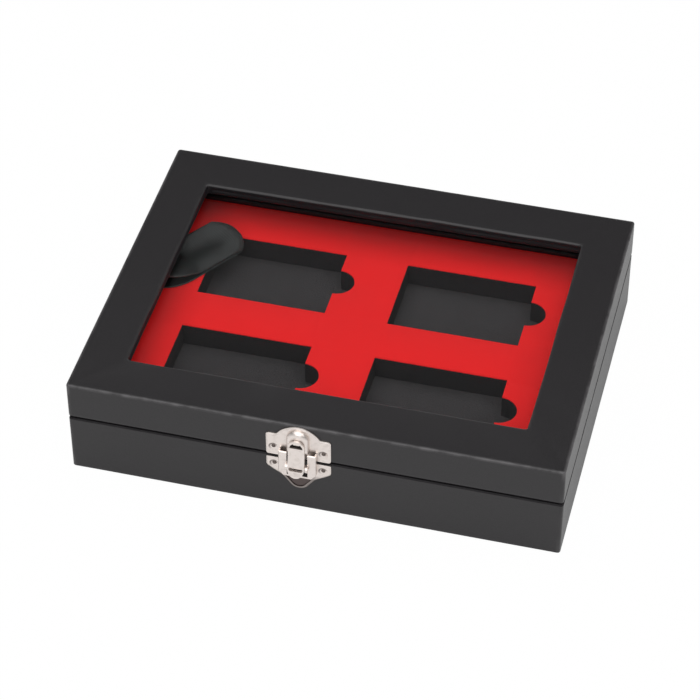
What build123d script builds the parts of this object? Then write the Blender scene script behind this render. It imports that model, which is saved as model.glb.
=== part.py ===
"""Glazed storage box for four pocket lighters, wrapped in black leatherette.

Sizes are in millimetres. The origin is the middle of the underside, +X is right,
+Y is back and +Z is up. The latch is on the front and the two hinges are on the back.
The lid is shown shut and the latch lever is shown hooked over its nose.
"""

import os
from math import atan2, cos, radians, sin, sqrt, tan

from build123d import *

# Case
case_length = 208.0
case_width = 160.0
case_height = 46.3
lid_height = 18.0
seam_gap = 0.3
wall_board = 6.0
bottom_board = 3.0
top_board = 4.0
wrap = 0.6
board_arris = 0.4
board_chamfer = 0.3
wrap_chamfer = 0.7
liner_thickness = 0.2
liner_inset = 3.0
underside_turn_in = 14.0

# Window
side_rail = 19.6
end_rail = 21.2
window_corner_radius = 1.5
window_rim_radius = 1.8
window_turn_in = 6.0
pane_thickness = 2.0
pane_overlap = 8.0
bead_lip = 4.0
bead_lip_thickness = 1.2

# Lighters and their insert
lighter_height = 57.2
lighter_width = 38.1
pocket_end_play = 0.2
pocket_side_play = 1.6
pocket_depth = 10.9
pocket_pitch_x = 85.1
pocket_pitch_y = 61.7
pocket_shift_x = -0.5
notch_radius = 7.8
notch_from_back = 18.6
card_thickness = 0.5
card_below_rim = 2.5

# Ribbon stay
ribbon_width = 18.5
ribbon_thickness = 0.5
ribbon_slot_play = 0.3
ribbon_slot_depth = 1.2
ribbon_tab = 9.0
ribbon_base_y = 17.8
ribbon_lift = 0.2
ribbon_slope_angle = 0.8
ribbon_bend_radius = 1.6
ribbon_turn_run = 9.3
ribbon_turn_angle = 52.5
ribbon_straight_run = 28.4
ribbon_fold_radius = 3.4

# Nails
nail_shank_radius = 0.45
nail_head_radius = 0.9
nail_head_chamfer = 0.2
nail_seat_height = 0.1
nail_dimple_radius = 2.0
nail_length = 5.0

# Latch
latch_x = -5.4
metal = 0.8
plate_edge_depth = 0.35
plate_edge_width = 0.6
plate_width = 27.2
plate_gap = 0.8
gap_corner = 0.9
wing_top = 12.2
wing_corner = 1.2
crest_radius = 10.5
crest_top = 17.4
upper_nail_x = 10.5
upper_nail_z = 4.9
lower_nail_x = 10.3
lower_nail_z = 4.6
wing_bottom = 6.1
lower_wing_corner = 2.0
waist_x = 6.9
waist_z = 10.6
waist_radius = 2.0
tip_z = 19.7
tip_radius = 4.5
tip_rim = 1.2
tip_recess = 0.4
saddle_width = 15.8
saddle_metal = 0.6
saddle_top = 5.1
saddle_bottom = 8.3
saddle_rise = 2.25
saddle_foot_half = 6.0
saddle_foot_height = 2.4
lever_slot_half = 4.4
lever_slot_bottom = 7.1
hood_half = 4.8
hood_bottom = 5.0
hood_top = 16.2
hood_rise = 2.2
hood_round = 1.8
hood_window_half = 2.9
hood_window_bottom = 8.8
nose_width = 2.6
nose_height = 0.75
nose_below_arch = 0.15
nose_reach = 3.6
pivot_out = 3.7
pivot_down = 2.0
pin_radius = 0.6
pin_running_play = 0.05
ear_gap = 0.15
ear_radius = 1.45
cheek_radius = 1.3
cheek_back = 1.6
cheek_top = 4.0
lever_metal = 0.9
lever_half = 3.5
lever_arch_z = 9.4
lever_window_z = 9.0
lever_window_radius = 2.75
lever_clearance = 0.15
lever_straight_end = 4.4
lever_elbow_out = 1.9
lever_elbow_down = 3.4
lever_bend_radius = 2.5
lever_lip_out = 6.3
lever_lip_down = 5.2
slit_length = 6.0
slit_height = 1.8
slit_down = 1.5

# Hinges
hinge_x = 56.0
hinge_width = 20.0
leaf_height = 10.5
leaf_corner = 1.5
knuckle_radius = 1.8
knuckle_clearance = 0.25
knuckle_gap = 0.15
middle_knuckle = 8.0
hinge_pin_radius = 0.8
hinge_pin_head = 0.4
hinge_nail_x = 6.0
hinge_nail_z = 6.8

# How near two numbers are to be called the same
touching = 0.01

# Heights worked out from the case
seam_z = case_height - lid_height
base_rim = seam_z - seam_gap / 2
lid_rim = seam_z + seam_gap / 2
base_underside = liner_thickness
panel_underside = base_underside + wrap
panel_top = panel_underside + bottom_board
top_frame_top = case_height - wrap
top_frame_underside = top_frame_top - top_board
lining_top = top_frame_underside - wrap
pane_underside = lining_top - pane_thickness
card_top = base_rim - card_below_rim
foam_top = card_top - card_thickness
pocket_floor = card_top - pocket_depth

# Plan sizes worked out from the case
edge_radius = wrap + board_arris
board_length = case_length - 2 * wrap
board_width = case_width - 2 * wrap
lined_length = board_length - 2 * wall_board
lined_width = board_width - 2 * wall_board
inner_length = lined_length - 2 * wrap
inner_width = lined_width - 2 * wrap
window_length = case_length - 2 * side_rail
window_width = case_width - 2 * end_rail
pane_length = window_length + 2 * pane_overlap
pane_width = window_width + 2 * pane_overlap
pocket_length = lighter_height + pocket_end_play
pocket_width = lighter_width + pocket_side_play
saddle_front = metal + saddle_rise
hood_front = metal + hood_rise
hinge_axis_y = case_width / 2 + knuckle_clearance + knuckle_radius

# Faces that the metalwork is drawn on: x runs to the right, y runs up, z points out of the box
latch_face = Plane(origin=(latch_x, -case_width / 2, seam_z), x_dir=(1, 0, 0), z_dir=(0, -1, 0))
latch_side = Plane(origin=(latch_x, -case_width / 2, seam_z), x_dir=(0, -1, 0), z_dir=(-1, 0, 0))


def hinge_face(x):
    """Plane on the back of the box at one hinge, seen from behind."""
    return Plane(origin=(x, case_width / 2, seam_z), x_dir=(-1, 0, 0), z_dir=(0, 1, 0))


def save(piece, name):
    """Label a finished piece and write its STEP file."""
    piece.part.label = name
    export_step(piece.part, f"parts/{name}.step")


# Nail: a chamfered head with a cone under it and a plain shank, standing on the covered board
seat_slope = (metal - nail_seat_height) / (nail_dimple_radius - nail_shank_radius)
head_low = nail_seat_height + seat_slope * (nail_head_radius - nail_shank_radius)
with BuildPart() as nail:
    with BuildSketch(Plane.XZ):
        with BuildLine():
            Polyline(
                (0, head_low + nail_head_chamfer),
                (0, -nail_length),
                (nail_shank_radius, -nail_length),
                (nail_shank_radius, nail_seat_height),
                (nail_head_radius, head_low),
                (nail_head_radius - nail_head_chamfer, head_low + nail_head_chamfer),
                close=True,
            )
        make_face()
    revolve(axis=Axis.Z)

# Dimple that the nail's head lies in
with BuildPart() as nail_dimple:
    with BuildSketch(Plane.XZ):
        with BuildLine():
            Polyline(
                (0, -metal),
                (nail_shank_radius, -metal),
                (nail_shank_radius, nail_seat_height),
                (nail_dimple_radius, metal),
                (nail_dimple_radius, 2 * metal),
                (0, 2 * metal),
                close=True,
            )
        make_face()
    revolve(axis=Axis.Z)


def nail_places(face, x, z):
    """Two nail positions on a face, one each side of its middle line."""
    return [face.location * Location((side * x, z, 0)) for side in (-1, 1)]


latch_upper_places = nail_places(latch_face, upper_nail_x, upper_nail_z)
latch_lower_places = nail_places(latch_face, lower_nail_x, -lower_nail_z)
hinge_upper_places = []
hinge_lower_places = []
for x in (-hinge_x, hinge_x):
    hinge_upper_places += nail_places(hinge_face(x), hinge_nail_x, hinge_nail_z)
    hinge_lower_places += nail_places(hinge_face(x), hinge_nail_x, -hinge_nail_z)


def make_nails(places):
    """A group of nails, one solid at each place."""
    with BuildPart() as nails:
        with Locations(*places):
            add(nail.part)
    return nails


latch_upper_nails = make_nails(latch_upper_places)
latch_lower_nails = make_nails(latch_lower_places)
hinge_upper_nails = make_nails(hinge_upper_places)
hinge_lower_nails = make_nails(hinge_lower_places)


def make_board_ring(low, high, open_edge):
    """The four wall boards of one half in one ring; open_edge picks its rim, 0 below or -1 above."""
    with BuildPart() as ring:
        with BuildSketch(Plane.XY.offset(low)):
            RectangleRounded(board_length, board_width, board_arris)
        extrude(amount=high - low)
        chamfer(ring.faces().sort_by(Axis.Z)[open_edge].edges(), board_chamfer)
        with BuildSketch(Plane.XY.offset(low)):
            Rectangle(lined_length, lined_width)
        extrude(amount=high - low, mode=Mode.SUBTRACT)
    return ring


def make_long_wall(ring, side):
    """Front (side -1) or back (side 1) wall, cut from the ring over its full length."""
    with BuildPart() as wall:
        add(ring.part)
        with BuildSketch(Plane.XY):
            with Locations((0, side * (board_width - wall_board) / 2)):
                Rectangle(board_length, wall_board)
        extrude(amount=case_height, mode=Mode.INTERSECT)
    return wall


def make_short_wall(ring, side):
    """Left (side -1) or right (side 1) wall, cut from the ring between the long walls."""
    with BuildPart() as wall:
        add(ring.part)
        with BuildSketch(Plane.XY):
            with Locations((side * (board_length - wall_board) / 2, 0)):
                Rectangle(wall_board, lined_width)
        extrude(amount=case_height, mode=Mode.INTERSECT)
    return wall


def drive(wall, nails):
    """The wall with the nails' shank holes in it."""
    with BuildPart() as holed:
        add(wall.part)
        add(nails.part, mode=Mode.SUBTRACT)
    return holed


# Base boards
base_ring = make_board_ring(panel_underside, base_rim - wrap, -1)
base_front_wall = drive(make_long_wall(base_ring, -1), latch_lower_nails)
base_back_wall = drive(make_long_wall(base_ring, 1), hinge_lower_nails)
base_left_wall = make_short_wall(base_ring, -1)
base_right_wall = make_short_wall(base_ring, 1)

with BuildPart() as base_bottom_panel:
    with BuildSketch(Plane.XY.offset(panel_underside)):
        Rectangle(lined_length, lined_width)
    extrude(amount=bottom_board)

# Base wrap: over the walls, over the rim, down the inside and turned in under the bottom
with BuildPart() as base_wrap:
    with BuildSketch(Plane.XY.offset(base_underside)):
        RectangleRounded(case_length, case_width, edge_radius)
    extrude(amount=base_rim - base_underside)
    chamfer(base_wrap.faces().sort_by(Axis.Z)[-1].edges(), wrap_chamfer)
    chamfer(base_wrap.faces().sort_by(Axis.Z)[0].edges(), wrap / 2)
    add(base_ring.part, mode=Mode.SUBTRACT)
    add(base_bottom_panel.part, mode=Mode.SUBTRACT)
    with BuildSketch(Plane.XY.offset(panel_top)):
        Rectangle(inner_length, inner_width)
    extrude(amount=base_rim - panel_top, mode=Mode.SUBTRACT)
    with BuildSketch(Plane.XY.offset(base_underside)):
        Rectangle(case_length - 2 * underside_turn_in, case_width - 2 * underside_turn_in)
    extrude(amount=wrap, mode=Mode.SUBTRACT)
    add(latch_lower_nails.part, mode=Mode.SUBTRACT)
    add(hinge_lower_nails.part, mode=Mode.SUBTRACT)

# Paper liner glued under the base, over the edges of the wrap
with BuildPart() as bottom_liner:
    with BuildSketch():
        RectangleRounded(case_length - 2 * liner_inset, case_width - 2 * liner_inset, edge_radius)
    extrude(amount=liner_thickness)


# The pocket and its notch are centred together on each place of the grid
pocket_middle_x = pocket_shift_x - notch_radius / 2
ribbon_slot_x = -inner_length / 2
ribbon_slot_size = (2 * ribbon_slot_depth, ribbon_width + 2 * ribbon_slot_play)
ribbon_tab_low = card_top - ribbon_tab


def make_insert_layer(low, high):
    """A layer of the insert with the four pockets through it and a slot for the ribbon's tab."""
    with BuildPart() as layer:
        with BuildSketch(Plane.XY.offset(low)):
            Rectangle(inner_length, inner_width)
            with Locations((pocket_middle_x, 0)):
                with GridLocations(pocket_pitch_x, pocket_pitch_y, 2, 2):
                    Rectangle(pocket_length, pocket_width, mode=Mode.SUBTRACT)
                with Locations((pocket_length / 2, pocket_width / 2 - notch_from_back)):
                    with GridLocations(pocket_pitch_x, pocket_pitch_y, 2, 2):
                        Circle(notch_radius, mode=Mode.SUBTRACT)
        extrude(amount=high - low)
        with BuildSketch(Plane.XY.offset(ribbon_tab_low)):
            with Locations((ribbon_slot_x, ribbon_base_y)):
                Rectangle(*ribbon_slot_size)
        extrude(amount=ribbon_tab, mode=Mode.SUBTRACT)
    return layer


# Insert: a plain floor pad, a foam layer with the pockets and the red flocked card on top
with BuildPart() as insert_floor_pad:
    with BuildSketch(Plane.XY.offset(panel_top)):
        Rectangle(inner_length, inner_width)
    extrude(amount=pocket_floor - panel_top)

insert_foam = make_insert_layer(pocket_floor, foam_top)
insert_red_panel = make_insert_layer(foam_top, card_top)

# Lid boards
lid_ring = make_board_ring(lid_rim + wrap, top_frame_underside, 0)
lid_front_wall = drive(make_long_wall(lid_ring, -1), latch_upper_nails)
lid_back_wall = drive(make_long_wall(lid_ring, 1), hinge_upper_nails)
lid_left_wall = make_short_wall(lid_ring, -1)
lid_right_wall = make_short_wall(lid_ring, 1)

with BuildPart() as lid_top_frame:
    with BuildSketch(Plane.XY.offset(top_frame_underside)):
        RectangleRounded(board_length, board_width, board_arris)
    extrude(amount=top_board)
    chamfer(lid_top_frame.faces().sort_by(Axis.Z)[-1].edges(), board_chamfer)
    with BuildSketch(Plane.XY.offset(top_frame_underside)):
        RectangleRounded(window_length + 2 * wrap, window_width + 2 * wrap, window_corner_radius + wrap)
    extrude(amount=top_board, mode=Mode.SUBTRACT)
    inner_rim = lid_top_frame.faces().sort_by(Axis.Z)[-1].inner_wires()[0].edges()
    chamfer(inner_rim, window_rim_radius - wrap)

# Lid wrap: over the top and the walls, into the window and up the inside of the walls
with BuildPart() as lid_wrap:
    with BuildSketch(Plane.XY.offset(lid_rim)):
        RectangleRounded(case_length, case_width, edge_radius)
    extrude(amount=case_height - lid_rim)
    chamfer(lid_wrap.faces().sort_by(Axis.Z)[-1].edges(), wrap_chamfer)
    chamfer(lid_wrap.faces().sort_by(Axis.Z)[0].edges(), wrap_chamfer)
    with BuildSketch(Plane.XY.offset(lid_rim)):
        RectangleRounded(window_length, window_width, window_corner_radius)
    extrude(amount=lid_height, mode=Mode.SUBTRACT)
    window_rim = lid_wrap.faces().sort_by(Axis.Z)[-1].inner_wires()[0].edges()
    fillet(window_rim, window_rim_radius)
    add(lid_ring.part, mode=Mode.SUBTRACT)
    add(lid_top_frame.part, mode=Mode.SUBTRACT)
    with BuildSketch(Plane.XY.offset(lid_rim)):
        Rectangle(inner_length, inner_width)
    extrude(amount=lining_top - lid_rim, mode=Mode.SUBTRACT)
    with BuildSketch(Plane.XY.offset(lining_top)):
        Rectangle(inner_length, inner_width)
        turned_length = window_length + 2 * window_turn_in
        turned_width = window_width + 2 * window_turn_in
        RectangleRounded(turned_length, turned_width, window_corner_radius, mode=Mode.SUBTRACT)
    extrude(amount=wrap, mode=Mode.SUBTRACT)
    add(latch_upper_nails.part, mode=Mode.SUBTRACT)
    add(hinge_upper_nails.part, mode=Mode.SUBTRACT)

# Clear pane, glued under the turned-in wrap
with BuildPart() as window_pane:
    with BuildSketch(Plane.XY.offset(pane_underside)):
        Rectangle(pane_length, pane_width)
    extrude(amount=pane_thickness)

# Beads: strips round the pane's edge with a lip under it
with BuildPart() as bead_ring:
    with BuildSketch(Plane.XY.offset(pane_underside - bead_lip_thickness)):
        Rectangle(inner_length, inner_width)
    extrude(amount=bead_lip_thickness + pane_thickness)
    with BuildSketch(Plane.XY.offset(pane_underside)):
        Rectangle(pane_length, pane_width)
    extrude(amount=pane_thickness, mode=Mode.SUBTRACT)
    with BuildSketch(Plane.XY.offset(pane_underside - bead_lip_thickness)):
        Rectangle(pane_length - 2 * bead_lip, pane_width - 2 * bead_lip)
    extrude(amount=bead_lip_thickness, mode=Mode.SUBTRACT)

bead_width_y = (inner_width - pane_width) / 2 + bead_lip
bead_width_x = (inner_length - pane_length) / 2 + bead_lip


def make_bead(centre, size):
    """One bead, cut from the ring of beads over a rectangle given by centre and size."""
    with BuildPart() as bead:
        add(bead_ring.part)
        with BuildSketch(Plane.XY):
            with Locations(centre):
                Rectangle(*size)
        extrude(amount=case_height, mode=Mode.INTERSECT)
    return bead


long_bead_y = (inner_width - bead_width_y) / 2
short_bead_x = (inner_length - bead_width_x) / 2
long_bead_size = (inner_length, bead_width_y)
short_bead_size = (bead_width_x, inner_width - 2 * bead_width_y)
window_bead_front = make_bead((0, -long_bead_y), long_bead_size)
window_bead_back = make_bead((0, long_bead_y), long_bead_size)
window_bead_left = make_bead((-short_bead_x, 0), short_bead_size)
window_bead_right = make_bead((short_bead_x, 0), short_bead_size)



def press_edge(plate):
    """Slope a latch plate's front edge, but not along the gap, and round its corners at the gap."""
    front = plate.faces().sort_by(Axis.Y)[0]
    edges = front.edges().filter_by(lambda edge: abs(edge.center().Z - seam_z) > plate_gap + touching)
    chamfer(edges, plate_edge_width, plate_edge_depth, reference=front)
    corners = plate.edges().filter_by(Axis.Y).group_by(lambda edge: abs(edge.center().Z - seam_z))[0]
    fillet(corners, gap_corner)


# Latch, upper plate: wings under a round crest, with a hollow hood that carries the nose
crest_middle = crest_top - crest_radius
crest_foot_x = sqrt(crest_radius**2 - (wing_top - crest_middle) ** 2)
hood_arch_z = hood_top - hood_half
nose_top = lever_window_z + sqrt(lever_window_radius**2 - (nose_width / 2) ** 2) - nose_below_arch
nose_z = nose_top - nose_height
with BuildPart() as latch_upper_plate:
    with BuildSketch(latch_face) as upper_outline:
        with Locations((0, plate_gap)):
            Rectangle(plate_width, wing_top - plate_gap, align=(Align.CENTER, Align.MIN))
        fillet(upper_outline.vertices().group_by(Axis.Y)[-1], wing_corner)
        with Locations((0, crest_middle)):
            Circle(crest_radius)
        with Locations((0, plate_gap)):
            Rectangle(plate_width, crest_radius, align=(Align.CENTER, Align.MAX), mode=Mode.SUBTRACT)
        cusps = upper_outline.vertices().filter_by(lambda v: abs(abs(v.X) - crest_foot_x) < touching)
        fillet(cusps, wing_corner)
    extrude(amount=metal)
    press_edge(latch_upper_plate)
    with BuildSketch(latch_face):
        with Locations((0, hood_bottom)):
            Rectangle(2 * hood_half, hood_arch_z - hood_bottom, align=(Align.CENTER, Align.MIN))
        with Locations((0, hood_arch_z)):
            Circle(hood_half)
    extrude(amount=hood_front)
    fillet(latch_upper_plate.faces().sort_by(Axis.Y)[0].edges(), hood_round)
    with BuildSketch(latch_face):
        with Locations((0, hood_bottom + metal)):
            hollow_size = (2 * (hood_half - metal), hood_arch_z - hood_bottom - metal)
            Rectangle(*hollow_size, align=(Align.CENTER, Align.MIN))
        with Locations((0, hood_arch_z)):
            Circle(hood_half - metal)
    extrude(amount=hood_front - metal, mode=Mode.SUBTRACT)
    with BuildSketch(latch_face):
        with Locations((0, hood_window_bottom)):
            hood_window_size = (2 * hood_window_half, nose_z - hood_window_bottom)
            Rectangle(*hood_window_size, align=(Align.CENTER, Align.MIN))
    extrude(amount=2 * hood_front, mode=Mode.SUBTRACT)
    with BuildSketch(latch_face.offset(hood_front - metal)):
        with Locations((0, nose_z)):
            Rectangle(nose_width, nose_height, align=(Align.CENTER, Align.MIN))
    extrude(amount=nose_reach - hood_front + metal)
    with Locations(*latch_upper_places):
        add(nail_dimple.part, mode=Mode.SUBTRACT)


def saddle_points(inset):
    """Corners of the saddle's outline, or of its hollow with an inset."""
    half = saddle_width / 2 - inset
    foot_half = saddle_foot_half - inset
    foot_z = saddle_foot_height - saddle_bottom
    bottom_z = inset - saddle_bottom
    right = [(half, saddle_top + inset), (half, foot_z), (foot_half, bottom_z)]
    left = [(-x, z) for x, z in reversed(right)]
    return right + left


# Latch, lower plate: a blunt plate with a raised saddle, slotted for the lever, and two ears
ear_inner = lever_half + ear_gap
ear_outer = lever_slot_half + saddle_metal / 2
tip_half_angle = atan2(waist_x, tip_z - waist_z)
recess_tip_z = tip_z - tip_rim / sin(tip_half_angle)
recess_half = (recess_tip_z - saddle_bottom) * tan(tip_half_angle)
with BuildPart() as latch_lower_plate:
    with BuildSketch(latch_face) as lower_outline:
        with BuildLine():
            Polyline(
                (-plate_width / 2, -plate_gap),
                (-plate_width / 2, -wing_bottom),
                (-waist_x, -waist_z),
                (0, -tip_z),
                (waist_x, -waist_z),
                (plate_width / 2, -wing_bottom),
                (plate_width / 2, -plate_gap),
                close=True,
            )
        make_face()
        fillet(lower_outline.vertices().group_by(Axis.Y)[0], tip_radius)
        wing_corners = lower_outline.vertices().filter_by(lambda v: abs(v.Y + wing_bottom) < touching)
        fillet(wing_corners, lower_wing_corner)
        waists = lower_outline.vertices().filter_by(lambda v: abs(v.Y + waist_z) < touching)
        fillet(waists, waist_radius)
    extrude(amount=metal)
    press_edge(latch_lower_plate)
    with BuildSketch(latch_face.offset(metal - tip_recess)) as recess:
        with BuildLine():
            Polyline(
                (-recess_half, -saddle_bottom),
                (recess_half, -saddle_bottom),
                (0, -recess_tip_z),
                close=True,
            )
        make_face()
        fillet(recess.vertices().group_by(Axis.Y)[0], tip_radius - tip_rim)
    extrude(amount=metal, mode=Mode.SUBTRACT)
    with BuildSketch(latch_face):
        Polygon(*saddle_points(0), align=None)
    extrude(amount=saddle_front)
    chamfer(latch_lower_plate.faces().sort_by(Axis.Y)[0].edges(), saddle_metal / 2)
    with BuildSketch(latch_face):
        Polygon(*saddle_points(saddle_metal), align=None)
    extrude(amount=saddle_front - saddle_metal, mode=Mode.SUBTRACT)
    with BuildSketch(latch_face):
        with Locations((0, -plate_gap)):
            Rectangle(2 * plate_width, saddle_bottom + saddle_top, align=(Align.CENTER, Align.MIN))
    extrude(amount=metal + seam_gap, mode=Mode.SUBTRACT)
    with BuildSketch(latch_face):
        with Locations((0, -lever_slot_bottom)):
            slot_height = lever_slot_bottom + 2 * saddle_top
            Rectangle(2 * lever_slot_half, slot_height, align=(Align.CENTER, Align.MIN))
    extrude(amount=2 * saddle_front, mode=Mode.SUBTRACT)
    for side in (-1, 1):
        with BuildSketch(latch_side.offset(side * ear_inner)):
            with Locations((pivot_out, -pivot_down)):
                Circle(ear_radius)
            with Locations((saddle_front - saddle_metal, -pivot_down)):
                ear_depth = pivot_out - saddle_front + saddle_metal
                Rectangle(ear_depth, 2 * ear_radius, align=(Align.MIN, Align.CENTER))
        extrude(amount=side * (ear_outer - ear_inner))
    with BuildSketch(latch_side):
        with Locations((pivot_out, -pivot_down)):
            Circle(pin_radius)
    extrude(amount=ear_outer, both=True, mode=Mode.SUBTRACT)
    with Locations(*latch_lower_places):
        add(nail_dimple.part, mode=Mode.SUBTRACT)

# Latch pin, riveted in the ears
with BuildPart() as latch_pivot_pin:
    with BuildSketch(latch_side):
        with Locations((pivot_out, -pivot_down)):
            Circle(pin_radius)
    extrude(amount=ear_outer + pin_radius / 2, both=True)
    chamfer(latch_pivot_pin.edges(), pin_radius / 3)

# Latch lever: an arched tongue with a window for the nose, a curled round lip and two cheeks
lever_back = hood_front + lever_clearance
lever_elbow = (lever_back + lever_elbow_out, -lever_elbow_down)
with BuildPart() as latch_lever:
    with BuildSketch(latch_side):
        with BuildLine():
            FilletPolyline(
                (lever_back, lever_arch_z + lever_half),
                (lever_back, lever_straight_end),
                lever_elbow,
                (lever_lip_out, -lever_lip_down - lever_metal),
                radius=lever_bend_radius,
            )
            offset(amount=lever_metal, side=Side.LEFT)
        make_face()
    extrude(amount=lever_half, both=True)
    for side in (-1, 1):
        with BuildSketch(latch_side.offset(side * (lever_half - metal))):
            with Locations((pivot_out, -pivot_down)):
                Circle(cheek_radius)
            with Locations((cheek_back + lever_metal / 3, cheek_top), (lever_back + lever_metal / 2, cheek_top)):
                Circle(lever_metal / 3)
            with Locations((lever_elbow[0] + lever_metal / 2, lever_elbow[1])):
                Circle(lever_metal / 3)
            make_hull()
        extrude(amount=side * metal)
    with BuildSketch(latch_face):
        with Locations((0, lever_arch_z), (0, lever_half - lever_lip_down)):
            Circle(lever_half)
        make_hull()
    extrude(amount=2 * lever_lip_out, mode=Mode.INTERSECT)
    with BuildSketch(latch_face):
        with Locations((0, lever_window_z)):
            Circle(lever_window_radius)
            below_window = (3 * lever_window_radius, 2 * lever_window_radius)
            Rectangle(*below_window, align=(Align.CENTER, Align.MAX), mode=Mode.SUBTRACT)
    extrude(amount=2 * lever_lip_out, mode=Mode.SUBTRACT)
    with BuildSketch(latch_face.offset(pivot_out + pin_radius)):
        with Locations((0, -slit_down)):
            SlotOverall(slit_length, slit_height)
    extrude(amount=2 * lever_lip_out, mode=Mode.SUBTRACT)
    with BuildSketch(latch_side):
        with Locations((pivot_out, -pivot_down)):
            Circle(pin_radius + pin_running_play)
    extrude(amount=2 * lever_half, both=True, mode=Mode.SUBTRACT)

# Hinges
end_knuckle = (hinge_width - middle_knuckle) / 2 - knuckle_gap
knuckle_notch = knuckle_radius + knuckle_clearance


def make_barrel(x, low, high, bore):
    """A stretch of hinge barrel with its bore, from low to high along +X from the hinge's middle."""
    barrel_plane = Plane(origin=(x + low, hinge_axis_y, seam_z), z_dir=(1, 0, 0))
    with BuildPart() as barrel:
        with BuildSketch(barrel_plane):
            Circle(knuckle_radius)
            Circle(bore, mode=Mode.SUBTRACT)
        extrude(amount=high - low)
    return barrel


def make_leaf(x, side):
    """One hinge leaf on the back of the box: side -1 has the end knuckles, side 1 the middle one."""
    face = hinge_face(x)
    half_width = hinge_width / 2
    if side < 0:
        barrels = [
            make_barrel(x, -half_width, -half_width + end_knuckle, hinge_pin_radius),
            make_barrel(x, half_width - end_knuckle, half_width, hinge_pin_radius),
        ]
        notches = [(0, middle_knuckle)]
    else:
        barrels = [make_barrel(x, -middle_knuckle / 2, middle_knuckle / 2, hinge_pin_radius + pin_running_play)]
        notches = [(end * (hinge_width - end_knuckle) / 2, end_knuckle) for end in (-1, 1)]
    with BuildPart() as leaf:
        with BuildSketch(face) as outline:
            with Locations((0, side * (leaf_height + seam_gap / 2) / 2)):
                Rectangle(hinge_width, leaf_height - seam_gap / 2)
            far_corners = outline.vertices().filter_by(lambda v: abs(v.Y) > leaf_height / 2)
            fillet(far_corners, leaf_corner)
            for notch_x, notch_width in notches:
                with Locations((notch_x, 0)):
                    Rectangle(notch_width + 2 * knuckle_gap, 2 * knuckle_notch, mode=Mode.SUBTRACT)
        extrude(amount=metal)
        for barrel in barrels:
            add(barrel.part)
        with Locations(*nail_places(face, hinge_nail_x, side * hinge_nail_z)):
            add(nail_dimple.part, mode=Mode.SUBTRACT)
    return leaf


def make_hinge_pin(x):
    """Hinge pin with a low head at each end."""
    with BuildPart() as pin:
        with BuildSketch(Plane(origin=(x, hinge_axis_y, seam_z), z_dir=(1, 0, 0))):
            Circle(hinge_pin_radius)
        extrude(amount=hinge_width / 2 + hinge_pin_head, both=True)
        chamfer(pin.edges(), hinge_pin_head / 2)
    return pin


# Ribbon stay: a satin tape glued to the wall inside the base and to the wall inside the lid


class TapeEnd:
    """The running end of the tape as it is laid: where it is, its heading and its climb in degrees."""

    def __init__(self, x, y, z):
        self.place = Vector(x, y, z)
        self.heading = 0.0
        self.climb = 90.0
        self.length = 0.0
        self.sections = []

    def mark(self):
        """Set a cross-section of the tape square to its run."""
        level = Vector(cos(radians(self.heading)), sin(radians(self.heading)), 0)
        across = Vector(-sin(radians(self.heading)), cos(radians(self.heading)), 0)
        along = level * cos(radians(self.climb)) + Vector(0, 0, 1) * sin(radians(self.climb))
        with BuildSketch(Plane(origin=self.place, x_dir=across, z_dir=along)) as section:
            Rectangle(ribbon_width, ribbon_thickness)
        self.sections.append(section.sketch.faces()[0])

    def lay(self, length, steps=1, turn=0.0, bend=0.0):
        """Lay a length of tape in equal chords, turning round +Z and bending upwards as it goes."""
        for _ in range(steps):
            half_turn = radians(turn / steps / 2)
            half_bend = radians(bend / steps / 2)
            chord = length / steps * arc_to_chord(half_turn) * arc_to_chord(half_bend)
            heading = radians(self.heading) + half_turn
            climb = radians(self.climb) + half_bend
            self.place += Vector(cos(heading) * cos(climb), sin(heading) * cos(climb), sin(climb)) * chord
            self.heading += turn / steps
            self.climb += bend / steps
            self.mark()
        self.length += length


def arc_to_chord(half_angle):
    """How much shorter a chord is than its arc."""
    return sin(half_angle) / half_angle if half_angle else 1.0


wall_bend_angle = 90 - ribbon_slope_angle
fold_bend_angle = 180 - 2 * ribbon_slope_angle


def lay_return(tape, straight):
    """Lay the upper run: straight back towards the wall, a turn square to it and a bend up it."""
    tape.lay(straight, steps=2)
    tape.lay(ribbon_turn_run, steps=4, turn=-tape.heading)
    tape.lay(radians(wall_bend_angle) * ribbon_bend_radius, steps=4, bend=-wall_bend_angle)


ribbon_wall_x = -inner_length / 2 + ribbon_thickness / 2
ribbon_low_z = card_top + ribbon_lift + ribbon_thickness / 2
ribbon_exit = ribbon_low_z - card_top - ribbon_bend_radius * cos(radians(ribbon_slope_angle))
tape = TapeEnd(ribbon_wall_x, ribbon_base_y, ribbon_tab_low)
tape.mark()
tape.lay(ribbon_tab + ribbon_exit)
tape.lay(radians(wall_bend_angle) * ribbon_bend_radius, steps=4, bend=-wall_bend_angle)
tape.lay(ribbon_turn_run, steps=4, turn=ribbon_turn_angle)
tape.lay(ribbon_straight_run, steps=2)
tape.lay(radians(fold_bend_angle) * ribbon_fold_radius, steps=8, bend=fold_bend_angle)
trial = TapeEnd(tape.place.X, tape.place.Y, tape.place.Z)
trial.heading, trial.climb = tape.heading, tape.climb
lay_return(trial, 0)
straight_share = cos(radians(tape.heading)) * cos(radians(ribbon_slope_angle))
lay_return(tape, (trial.place.X - ribbon_wall_x) / straight_share)
ribbon_free = tape.length - ribbon_tab
ribbon_lid_place = tape.place
tape.lay(pane_underside - bead_lip_thickness - ribbon_lift - tape.place.Z)

with BuildPart() as ribbon_stay:
    loft(tape.sections, ruled=True)
print(f"Ribbon stay: {tape.length:.1f} mm long, {ribbon_free:.1f} mm of it free")
print(f"Glued to the lid from y {ribbon_lid_place.Y:.1f}, z {ribbon_lid_place.Z:.1f}")

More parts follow.
